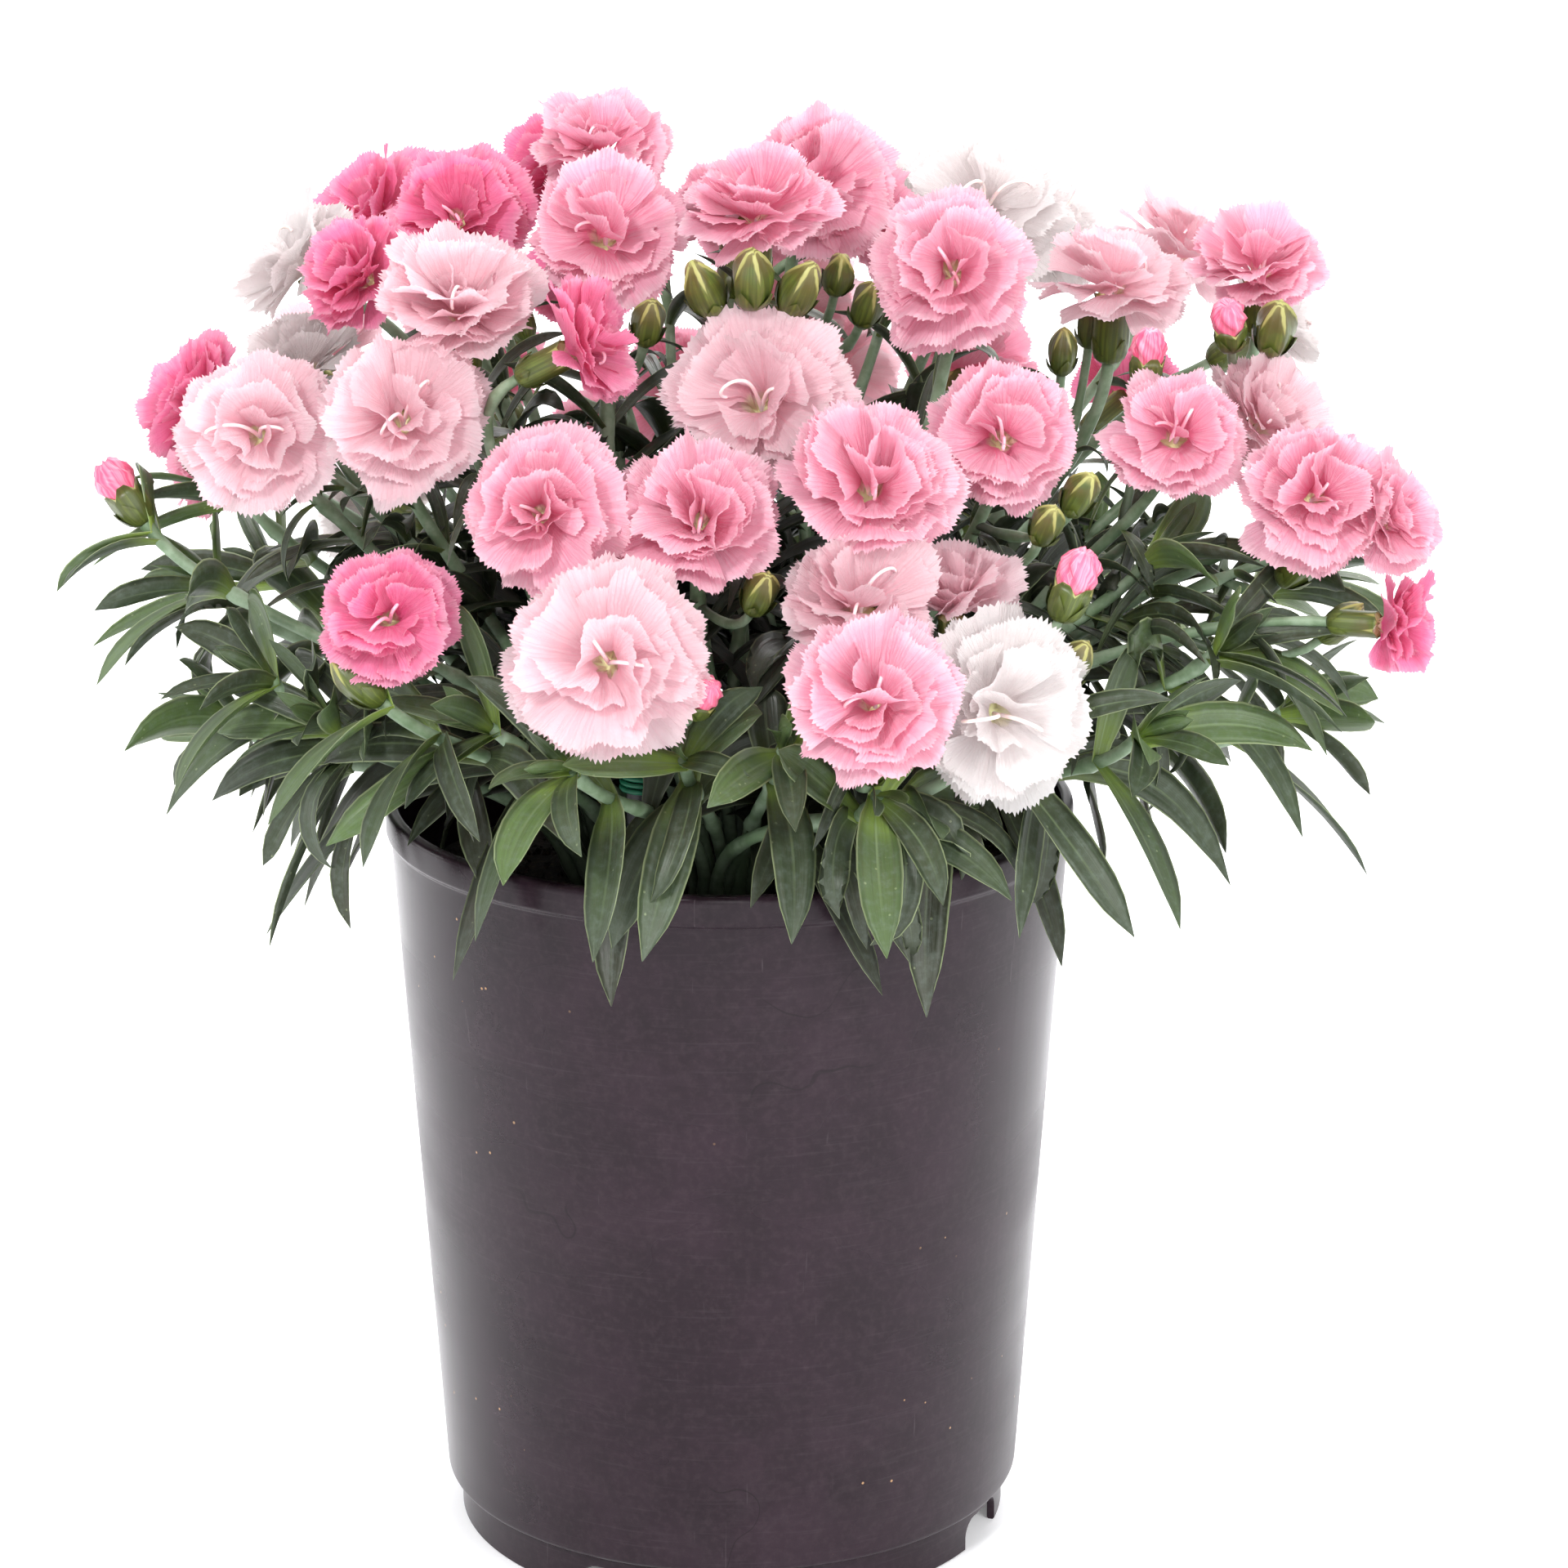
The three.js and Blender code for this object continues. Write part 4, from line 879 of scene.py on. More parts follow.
def cluster_tree() -> GeometryTree:
    """Makes a tree that puts shapes on points, turned and sized by the points' values, and crumples them.

    Returns:
        The tree.
    """
    tree = GeometryTree("cluster", shapes=Shapes, crumple=0.0, grain=90.0, seed=1)
    turn = tree.put("FunctionNodeAxesToRotation", {
        0: tree.read("ahead", "FLOAT_VECTOR"), 1: tree.read("over", "FLOAT_VECTOR")},
        primary_axis="Y", secondary_axis="Z")
    put = tree.put("GeometryNodeInstanceOnPoints", {
        "Points": tree.entry("Geometry"), "Instance": tree.members("shapes"), "Pick Instance": True,
        "Instance Index": tree.read("shape", "INT"), "Rotation": turn.outputs[0],
        "Scale": tree.read("size", "FLOAT_VECTOR")})
    real = tree.put("GeometryNodeRealizeInstances", {0: put.outputs[0]})
    noise = tree.put("ShaderNodeTexNoise", {
        "Vector": tree.put("GeometryNodeInputPosition").outputs[0], "W": tree.times(tree.entry("seed"), 7.31),
        "Scale": tree.entry("grain"), "Detail": 2.0}, noise_dimensions="4D")
    centred = tree.vector("SUBTRACT", noise.outputs["Color"], (0.5, 0.5, 0.5))
    amount = tree.times(tree.entry("crumple"), tree.read("along"))
    moved = tree.put("GeometryNodeSetPosition", {
        0: real.outputs[0], "Offset": tree.vector("SCALE", centred, amount)})
    tree.end(moved.outputs[0])
    return tree


def scatter_tree() -> GeometryTree:
    """Makes a tree that strews crumbs over a surface.

    Returns:
        The tree.
    """
    tree = GeometryTree("scatter", crumbs=Shapes, density=60000.0, least=0.4, most=1.6, seed=3)
    spots = tree.put("GeometryNodeDistributePointsOnFaces", {
        0: tree.entry("Geometry"), "Density": tree.entry("density"), "Seed": tree.entry("seed")})
    spin = tree.put("FunctionNodeRandomValue", {0: (0.0, 0.0, 0.0), 1: (FULL_TURN,) * 3, "Seed": 5},
                    data_type="FLOAT_VECTOR")
    size = tree.put("FunctionNodeRandomValue", {2: tree.entry("least"), 3: tree.entry("most"), "Seed": 6})
    put = tree.put("GeometryNodeInstanceOnPoints", {
        "Points": spots.outputs[0], "Instance": tree.members("crumbs"), "Pick Instance": True,
        "Rotation": spin.outputs[0], "Scale": size.outputs[1]})
    tree.end(put.outputs[0])
    return tree


def coil_tree() -> GeometryTree:
    """Makes a tree that winds a wire round the first point of a mesh.

    Returns:
        The tree.
    """
    tree = GeometryTree("coil", turns=3.0, radius=0.004, height=0.008, wire=0.0006)
    coil = tree.put("GeometryNodeCurveSpiral", {
        "Resolution": 28, "Rotations": tree.entry("turns"), "Start Radius": tree.entry("radius"),
        "End Radius": tree.entry("radius"), "Height": tree.entry("height")})
    ring = tree.put("GeometryNodeCurvePrimitiveCircle", {"Resolution": 12, "Radius": tree.entry("wire")})
    skin = tree.put("GeometryNodeCurveToMesh", {
        "Curve": coil.outputs[0], "Profile Curve": ring.outputs[0], "Fill Caps": True})
    start = tree.put("GeometryNodeSampleIndex", {
        0: tree.entry("Geometry"), "Value": tree.put("GeometryNodeInputPosition").outputs[0]},
        data_type="FLOAT_VECTOR")
    placed = tree.put("GeometryNodeSetPosition", {0: skin.outputs[0], "Offset": start.outputs[0]})
    tree.end(placed.outputs[0])
    return tree


# ---- Finishes ----


class Recipe(NodeGraph):
    """A material's node tree, whose colours are written as six hex digits."""

    def __init__(self, name: str) -> None:
        """Starts an empty material.

        Args:
            name: Its name.
        """
        self.material = bpy.data.materials.new(name)
        self.material.use_nodes = True
        super().__init__(self.material.node_tree)
        self.tree.nodes.clear()

    def read(self, name: str) -> Socket:
        """The value of a named attribute of the mesh."""
        return self.put("ShaderNodeAttribute", attribute_name=name).outputs["Fac"]

    def place(self) -> Socket:
        """The place on the object, in metres."""
        return self.put("ShaderNodeTexCoord").outputs["Object"]

    def gather(self, x: object, y: object, z: object) -> Socket:
        """A vector of three numbers."""
        return self.put("ShaderNodeCombineXYZ", {0: x, 1: y, 2: z}).outputs[0]

    def noise(self, vector: Socket, scale: float, detail: float = 2.0, rough: float = 0.5) -> Socket:
        """A cloudy pattern from 0 to 1."""
        feeds = {"Vector": vector, "Scale": scale, "Detail": detail, "Roughness": rough}
        return self.put("ShaderNodeTexNoise", feeds).outputs["Fac"]

    def drawn_out(self, turn: Sequence[float], scale: Sequence[float], detail: float = 2.0) -> Socket:
        """A cloudy pattern that is turned, in radians, and then has its own scale along each axis."""
        feeds = {"Vector": self.place(), "Rotation": turn, "Scale": scale}
        return self.noise(self.put("ShaderNodeMapping", feeds).outputs[0], 1.0, detail)

    def specks(self, scale: float, large: float, small: float, most: float = 1.0) -> Socket:
        """A pattern of scattered round specks, from 0 between them to most inside them."""
        cells = self.put("ShaderNodeTexVoronoi", {"Vector": self.place(), "Scale": scale})
        return self.span(cells.outputs["Distance"], large, small, 0.0, most)

    def ramp(self, value: object, stops: Sequence[tuple[float, str]]) -> Socket:
        """Makes a colour that runs through several stops.

        Args:
            value: What goes through the stops.
            stops: The value and the colour of the first, the last and then the middle ones.

        Returns:
            The colour.
        """
        node = self.put("ShaderNodeValToRGB", {0: value})
        steps = node.color_ramp.elements
        for i, (place, code) in enumerate(stops):
            step = steps[i] if i < 2 else steps.new(place)
            step.position, step.color = place, linear(code)
        return node.outputs[0]

    def mix(self, share: object, *colours: Union[str, Socket]) -> Socket:
        """A mix of two colours, with a share of the second."""
        first, second = (linear(colour) if isinstance(colour, str) else colour for colour in colours)
        return self.put("ShaderNodeMix", {0: share, 6: first, 7: second}, data_type="RGBA").outputs[2]

    def bump(self, height: object, strength: float, distance: float) -> Socket:
        """A surface that is rough by a height in metres."""
        return self.put("ShaderNodeBump", {"Height": height, "Strength": strength, "Distance": distance}).outputs[0]

    def solid(self, **feeds: object) -> Socket:
        """A solid surface, with the shader's inputs written with _ for a space and small letters."""
        named = {key.replace("_", " ").title().replace("Ior", "IOR"): value for key, value in feeds.items()}
        return self.put("ShaderNodeBsdfPrincipled", named).outputs[0]

    def sheer(self, front: Socket, colour: Socket, glow: str, normal: Socket, through: float) -> Socket:
        """Makes a thin sheet that lets some light through.

        Args:
            front: The surface of the sheet.
            colour: Its colour.
            glow: The colour that shining through adds.
            normal: Its surface relief.
            through: The share of the light that goes through.

        Returns:
            The shader.
        """
        feeds = {"Color": self.mix(0.5, colour, glow), "Normal": normal}
        back = self.put("ShaderNodeBsdfTranslucent", feeds).outputs[0]
        return self.put("ShaderNodeMixShader", {0: through, 1: front, 2: back}).outputs[0]

    def end(self, shader: Socket) -> Material:
        """Ends the material in a shader."""
        self.put("ShaderNodeOutputMaterial", {"Surface": shader})
        return self.material


@dataclass(frozen=True)
class PetalFinish:
    """Thin soft petals: paler at the edge, deeper towards the claw, with fine streaks from the throat."""

    tint: Tint
    edge: str
    face: str
    deep: str
    glow: str
    throat: str = "c3c27a"
    claw: str = "e8dcb8"
    streaks: float = 0.75
    through: float = 0.37

    def make(self) -> Material:
        """Makes the finish of these petals.

        Returns:
            The material.
        """
        r = Recipe(f"petals_{self.tint.value}")
        along, across, tone = r.read("along"), r.read("across"), r.read("tone")
        ray = r.gather(r.times(across, 28.0), r.times(along, 1.3), r.times(tone, 37.0))
        streak = r.span(r.noise(ray, 1.0, 3.0, 0.6), 0.46, 0.62)
        cloud = r.noise(r.place(), 170.0, 3.0, 0.6)
        reach = r.maths("ADD", along, r.times(r.maths("SUBTRACT", cloud, 0.5), 0.35))
        body = r.ramp(reach, [(0.0, self.throat), (1.0, self.edge), (0.08, self.claw), (0.17, self.deep),
                              (0.5, self.face), (0.82, self.face)])
        fade = r.times(streak, r.span(along, 1.0, 0.3, 0.16, self.streaks))
        lined = r.mix(fade, body, self.deep)
        colour = r.mix(r.span(tone, 0.0, 1.0, 0.0, 0.35), lined, r.mix(0.5, lined, self.edge))
        relief = r.maths("ADD", r.times(streak, 0.5), r.noise(r.place(), 900.0, 2.0))
        normal = r.bump(relief, 0.5, 0.0006)
        front = r.solid(base_color=colour, roughness=0.55, sheen_weight=0.1, sheen_roughness=0.45,
                        specular_ior_level=0.28, normal=normal)
        return r.end(r.sheer(front, colour, self.glow, normal, self.through))


@dataclass(frozen=True)
class LeafFinish:
    """Glaucous leaves: a pale midrib and margin, fine veins, a waxy bloom, brighter when young, with painted shade
    towards the heart of the plant.
    """

    old: str = "2f2f21"
    grown: str = "3e4a34"
    young: str = "617b42"
    lime: str = "9cb94c"
    wax: str = "7e8d83"
    rib: str = "8ba172"
    margin: str = "b7c794"
    brown: str = "4b3d34"
    # Colour of the painted shade in the heart of the plant.
    shade: str = "1f221a"
    glow: str = "8fbf3a"
    through: float = 0.16
    # Middle of the painted shade, in metres.
    heart: Place = (0.0, 0.0, 0.2)

    def make(self) -> Material:
        """Makes the finish of the leaves, with painted shade that darkens them towards the heart of the plant.

        Returns:
            The material.
        """
        r = Recipe("dianthus_leaf")
        along, across, tone = r.read("along"), r.read("across"), r.read("tone")
        patchy = r.times(r.maths("SUBTRACT", r.noise(r.place(), 55.0), 0.5), 0.3)
        age = r.maths("ADD", tone, patchy)
        green = r.ramp(age, [(0.0, self.old), (1.0, self.young), (0.5, self.grown)])
        vein = r.noise(r.gather(r.times(across, 9.0), r.times(along, 1.2), r.times(tone, 91.0)), 1.0, 3.0)
        fresh = r.times(r.span(along, 0.42, 0.02), r.span(age, 0.1, 0.9, 0.1, 0.95))
        limed = r.mix(fresh, green, self.lime)
        veined = r.mix(r.span(vein, 0.4, 0.7, 0.0, 0.3), limed, self.old)
        side = r.maths("ABSOLUTE", across)
        rib = r.times(r.span(side, 0.1, 0.0, 0.0, 0.55), r.span(along, 1.0, 0.2))
        ribbed = r.mix(rib, veined, self.rib)
        cloud = r.noise(r.place(), 520.0, 4.0, 0.65)
        withered = r.times(r.span(r.noise(r.place(), 30.0), 0.52, 0.7, 0.0, 0.65), r.span(tone, 0.6, 0.1))
        browned = r.mix(withered, ribbed, self.brown)
        waxed = r.mix(r.span(cloud, 0.4, 0.85, 0.04, 0.36), browned, self.wax)
        speckled = r.mix(r.specks(260.0, 0.1, 0.06, 0.3), waxed, self.margin)
        edged = r.mix(r.span(side, 0.88, 0.98, 0.0, 0.75), speckled, self.margin)
        # Painted shade: the leaves darken towards the heart of the plant, where the foliage shades itself.
        away = r.put("ShaderNodeVectorMath", {0: r.place(), 1: self.heart}, operation="DISTANCE").outputs["Value"]
        colour = r.mix(r.span(away, 0.115, 0.06, 0.0, 0.85), edged, self.shade)
        normal = r.bump(r.maths("ADD", vein, r.times(cloud, 0.4)), 0.35, 0.0004)
        front = r.solid(base_color=colour, roughness=r.span(cloud, 0.3, 0.8, 0.36, 0.52),
                        specular_ior_level=0.45, normal=normal)
        return r.end(r.sheer(front, colour, self.glow, normal, self.through))


@dataclass(frozen=True)
class StemFinish:
    """Grey-green stems with a waxy bloom, darker low down."""

    green: str = "627b59"
    wax: str = "9bb096"
    shade: str = "30342a"

    def make(self) -> Material:
        """Makes the finish of the stems.

        Returns:
            The material.
        """
        r = Recipe("dianthus_stem")
        cloud = r.noise(r.place(), 150.0, 4.0, 0.6)
        body = r.mix(r.span(cloud, 0.35, 0.7, 0.1, 0.75), self.green, self.wax)
        colour = r.mix(r.span(r.read("along"), 0.42, 0.0, 0.0, 0.85), body, self.shade)
        return r.end(r.solid(base_color=colour, roughness=r.span(cloud, 0.3, 0.8, 0.4, 0.6),
                             normal=r.bump(r.noise(r.place(), 1400.0), 0.2, 0.0002)))


@dataclass(frozen=True)
class CalyxFinish:
    """Calyces and buds: olive green with paler stripes, cream between the teeth, pink where petals show."""

    brown: str = "5f5228"
    cream: str = "bdbb72"
    body: str = "4b5726"
    stripe: str = "707e34"
    tip: str = "b0aa66"
    shade: str = "393f1d"
    throat: str = "dcdba2"
    petal: str = "e8567f"
    petal_light: str = "f59ab2"

    def make(self) -> Material:
        """Makes the finish of the calyces and buds.

        Returns:
            The material.
        """
        r = Recipe("dianthus_calyx")
        along, across, tone = r.read("along"), r.read("across"), r.read("tone")
        stripe = r.noise(r.gather(r.times(across, 22.0), r.times(along, 1.0), tone), 1.0, 2.0)
        cloud = r.noise(r.place(), 200.0, 3.0)
        body = r.mix(r.span(stripe, 0.38, 0.7, 0.0, 0.6), self.body, self.stripe)
        shaded = r.mix(r.span(cloud, 0.4, 0.75, 0.0, 0.5), body, self.shade)
        tipped = r.mix(r.span(along, 0.84, 1.0, 0.0, 0.8), shaded, self.tip)
        patchy = r.span(r.maths("ADD", cloud, r.times(tone, 0.2)), 0.5, 0.68)
        browned = r.mix(r.times(r.span(along, 0.3, 0.95, 0.0, 0.75), patchy), tipped, self.brown)
        tooth = r.maths("PINGPONG", r.times(r.maths("ADD", across, 1.0), 2.5), 0.5)
        gap = r.maths("SUBTRACT", tooth, r.times(r.maths("SUBTRACT", along, 0.6), 0.75))
        seamed = r.mix(r.span(gap, 0.04, -0.08, 0.0, 0.7), browned, self.cream)
        throat = r.mix(r.span(along, 1.05, 1.25), seamed, self.throat)
        petals = r.mix(r.span(stripe, 0.3, 0.7), self.petal, self.petal_light)
        colour = r.mix(r.span(r.read("pink"), 0.4, 0.6), throat, petals)
        return r.end(r.solid(base_color=colour, roughness=0.37,
                             normal=r.bump(r.maths("ADD", stripe, cloud), 0.3, 0.0003)))


@dataclass(frozen=True)
class StyleFinish:
    """The slender styles: translucent cream, faintly pink."""

    cream: str = "fbf1ea"
    pink: str = "f7b8cc"

    def make(self) -> Material:
        """Makes the finish of the styles.

        Returns:
            The material.
        """
        r = Recipe("dianthus_style")
        cloud = r.noise(r.place(), 300.0, 2.0)
        pink = r.maths("ADD", r.read("tone"), r.span(cloud, 0.3, 0.7, 0.0, 0.3), clamp=True)
        return r.end(r.solid(base_color=r.mix(pink, self.cream, self.pink), roughness=0.5,
                             subsurface_weight=0.3, subsurface_scale=0.001))


@dataclass(frozen=True)
class PotFinish:
    """Satin nursery-pot plastic: brownish black with faint smears, fine scratches and specks of dust."""

    body: str = "1e121a"
    worn: str = "2b1c26"
    rubbed: str = "6a5f66"
    brushed: str = "5d5359"
    grain: str = "5a4c50"
    scraped: str = "6b6266"
    scored: str = "150c12"
    dust: str = "b08a66"

    def make(self) -> Material:
        """Makes the finish of the pot.

        Returns:
            The material.
        """
        r = Recipe("pot_plastic")
        place = r.place()
        smear = r.drawn_out((0.3, 0.5, 0.2), (9.0, 9.0, 26.0), 3.0)
        swirl = r.put("ShaderNodeTexWave", {"Vector": place, "Scale": 40.0, "Distortion": 14.0, "Detail": 4.0,
                                            "Detail Scale": 1.6}, wave_type="RINGS").outputs["Fac"]
        rubbed = r.times(r.span(swirl, 0.55, 0.95), r.span(smear, 0.5, 0.62))
        cloud = r.noise(place, 38.0, 5.0, 0.65)
        scratch = r.drawn_out((0.0, 0.35, 0.0), (700.0, 700.0, 18.0))
        scuff = r.drawn_out((0.2, 0.1, 0.0), (60.0, 60.0, 1500.0))
        grain = r.noise(place, 520.0, 4.0, 0.7)
        curve = r.maths("ABSOLUTE", r.maths("SUBTRACT", r.noise(place, 14.0, 3.0, 0.45), 0.5))
        scored = r.times(r.span(curve, 0.0022, 0.0008), r.span(smear, 0.55, 0.6))
        dust = r.times(r.specks(140.0, 0.06, 0.035), r.span(r.noise(place, 24.0), 0.48, 0.56))
        colour = r.mix(r.span(cloud, 0.35, 0.7, 0.0, 0.7), self.body, self.worn)
        colour = r.mix(r.times(rubbed, 0.016), colour, self.rubbed)
        colour = r.mix(r.span(scuff, 0.55, 0.8, 0.0, 0.09), colour, self.brushed)
        colour = r.mix(r.span(grain, 0.42, 0.72, 0.0, 0.09), colour, self.grain)
        colour = r.mix(r.span(scratch, 0.72, 0.78, 0.0, 0.18), colour, self.scraped)
        colour = r.mix(r.times(scored, 0.6), colour, self.scored)
        colour = r.mix(r.times(dust, 0.85), colour, self.dust)
        rough = r.maths("ADD", r.span(smear, 0.35, 0.7, 0.24, 0.36), r.times(rubbed, 0.012))
        raised = r.maths("ADD", r.times(scratch, 0.06), r.times(dust, 0.3))
        relief = r.maths("ADD", r.times(scuff, 0.12), raised)
        return r.end(r.solid(base_color=colour, roughness=rough, specular_ior_level=0.24,
                             normal=r.bump(relief, 0.22, 0.0005)))


@dataclass(frozen=True)
class SoilFinish:
    """Dark peaty potting mix with paler fibres."""

    dark: str = "1f1712"
    pale: str = "4a3a2c"

    def make(self) -> Material:
        """Makes the finish of the potting mix.

        Returns:
            The material.
        """
        r = Recipe("potting_mix")
        grain = r.noise(r.place(), 420.0, 5.0, 0.7)
        colour = r.mix(r.span(grain, 0.5, 0.75), self.dark, self.pale)
        return r.end(r.solid(base_color=colour, roughness=0.93, normal=r.bump(grain, 0.9, 0.001)))


@dataclass(frozen=True)
class StickFinish:
    """Dark plastic of the stake or green coating of the tie wire, with light wear."""

    name: str
    body: str
    worn: str
    rough: float

    def make(self) -> Material:
        """Makes the finish of one of the small pieces.

        Returns:
            The material.
        """
        r = Recipe(self.name)
        cloud = r.noise(r.place(), 260.0, 4.0, 0.6)
        colour = r.mix(r.span(cloud, 0.5, 0.8, 0.0, 0.6), self.body, self.worn)
        return r.end(r.solid(base_color=colour, roughness=r.span(cloud, 0.3, 0.7, self.rough, self.rough + 0.15),
                             normal=r.bump(cloud, 0.2, 0.0003)))


@dataclass(frozen=True)
class FloorFinish:
    """The plain pale floor."""

    pale: str = "f4f4f6"
    dull: str = "eeeef1"
    glow: float = 0.16

    def make(self) -> Material:
        """Makes the finish of the floor.

        Returns:
            The material.
        """
        r = Recipe("pale_floor")
        colour = r.mix(r.span(r.noise(r.place(), 3.0), 0.2, 0.8, 0.0, 0.2), self.pale, self.dull)
        return r.end(r.solid(base_color=colour, roughness=0.7, emission_color=(1.0, 1.0, 1.0, 1.0),
                             emission_strength=self.glow))


PETAL_FINISHES = {
    Tint.ROSE: PetalFinish(Tint.ROSE, edge="f1b4ca", face="ee86ae", deep="e64a86", glow="fb74aa"),
    Tint.PINK: PetalFinish(Tint.PINK, edge="f4d2dc", face="efb3c7", deep="ed759c", glow="fb9dbb"),
    Tint.BLUSH: PetalFinish(Tint.BLUSH, edge="efdee2", face="f2d6dd", deep="f5b9c7", glow="ffd2dc",
                            streaks=0.6, through=0.5),
    Tint.WHITE: PetalFinish(Tint.WHITE, edge="e9e7e7", face="e7e3e3", deep="e8dcdd", glow="fdf1ee",
                            streaks=0.55, through=0.44),
}


# ---- Pot, soil, stake and tie ----


def rounded(outline: Sequence[Place], steps: int = 4) -> list[tuple[float, float]]:
    """An outline with its corners rounded.

    Args:
        outline: Its corners as radius, height and radius of rounding.
        steps: How many points a rounded corner gets, less one.

    Returns:
        The points of the rounded outline as radius and height.
    """
    made = []
    corners = [np.array(corner[:2], float) for corner in outline]
    for i, (radius, height, rounding) in enumerate(outline):
        if not rounding:
            made.append((radius, height))
            continue
        here, before, after = corners[i], corners[i - 1], corners[i + 1]
        start = here + unit(before - here) * rounding
        finish = here + unit(after - here) * rounding
        for step in range(steps + 1):
            t = step / steps
            point = start * (1 - t) ** 2 + 2 * here * t * (1 - t) + finish * t**2
            made.append((float(point[0]), float(point[1])))
    return made


def apart(turn: float, middle: float) -> float:
    """How many degrees lie between two turns."""
    return abs((turn - middle + 180) % 360 - 180)


@dataclass
class Pot:
    """The round tapered pot, with its rim lip, its foot and the notches under the foot."""

    height: float = 186
    rim: float = 84.2
    lip: float = 179.2
    top: float = 83
    wall_top: float = 178
    bottom: float = 72.2
    wall_bottom: float = 12
    foot: float = 68.8
    foot_top: float = 10.2
    floor_top: float = 11
    floor_under: float = 8.6
    wall: float = 1.9
    notch_turns: tuple[float, ...] = (66.5, 156.5, 246.5, 336.5)
    notch_width: float = 20
    notch_height: float = 7.4
    notch_corner: float = 4.44
    sides: int = 160

    def inner(self, z: float) -> float:
        """Radius of the inside at a height."""
        rise = z - self.wall_bottom
        return self.bottom + (self.top - self.bottom) * rise / (self.wall_top - self.wall_bottom) - self.wall

    def notch_at(self, turn: float) -> float:
        """Finds how high the foot's lower edge is.

        Args:
            turn: The turn to look at.

        Returns:
            The height, which is more than 0 in a notch.
        """
        for middle in self.notch_turns:
            away = apart(turn, middle) * math.pi / 180 * self.foot
            half = self.notch_width / 2
            if away < half:
                past = max(away - (half - self.notch_corner), 0) / self.notch_corner
                return self.notch_height - self.notch_corner * (1 - math.sqrt(max(1 - past**2, 0)))
        return 0.0

    def turns(self) -> list[float]:
        """Chooses the turns at which the wall has points.

        Returns:
            The turns, evenly round the pot but close together along the notches.
        """
        found = {round(360 * i / self.sides, 4) for i in range(self.sides)}
        edge = math.degrees(self.notch_width / 2 / self.foot)
        corner = math.degrees((self.notch_width / 2 - self.notch_corner) / self.foot)
        for middle in self.notch_turns:
            found = {turn for turn in found if apart(turn, middle) > edge + 0.3}
            spread = list(np.linspace(-corner, corner, 7)) + [-edge - 0.01, edge + 0.01]
            for share in (0.3, 0.6, 0.8, 0.93, 0.995):
                spread += [-(corner + (edge - corner) * share), corner + (edge - corner) * share]
            found |= {round((middle + away) % 360, 4) for away in spread}
        return sorted(found)

    def wall_rows(self) -> list[tuple[float, float]]:
        """Draws the section of the wall.

        Returns:
            Radius and height of its points, up the outside, over the rim and down the inside.
        """
        taper = self.top - self.bottom
        return rounded([
            (self.foot, self.foot_top, 0), (self.foot + 0.1, self.foot_top, 0.05),
            (self.bottom, self.wall_bottom, 0.9), (self.bottom + taper * 0.02, 15.4, 0),
            (self.bottom + taper * 0.5, 95, 0), (self.top - 0.15, 175.6, 0), (self.top, self.wall_top, 0.4),
            (self.rim, self.lip, 0.5), (self.rim, self.height - 3.2, 0),
            (self.rim - 0.05, self.height, 1.5), (self.top - self.wall, self.height, 0.8),
            (self.inner(self.wall_top), self.wall_top, 0), (self.inner(95), 95, 0), (self.inner(14), 14, 0),
            (self.inner(self.floor_top), self.floor_top, 1.5), (40, self.floor_top, 0),
        ])

    def build(self) -> None:
        """Builds and dresses the pot."""
        hollow = self.foot - self.wall
        sketch = Sketch()
        turns = self.turns()
        notches = [self.notch_at(turn) for turn in turns]
        section_rows = [
            (40.0, 0, self.floor_under), (hollow - 1.2, 0, self.floor_under), (hollow, 0, 8.2), (hollow, 0.6, 3.2),
            (hollow, 1, 0.4), (hollow + 0.4, 1, 0),
            (self.foot - 0.4, 1, 0), (self.foot, 1, 0.4), (self.foot, 0.45, 5),
        ] + [(radius, 0, z) for radius, z in self.wall_rows()]
        rings = [
            [sketch.spot(compass(turn, radius, notch * share + z)) for turn, notch in zip(turns, notches)]
            for radius, share, z in section_rows
        ]
        sketch.sleeve(rings)
        sketch.fan(rings[0][::-1], sketch.spot(np.array([0, 0, self.floor_under])))
        sketch.fan(rings[-1], sketch.spot(np.array([0, 0, self.floor_top])))
        hand_over(smooth(sketch.take("pot_body"), PotFinish().make(), 32), "pot_plastic", "pot")


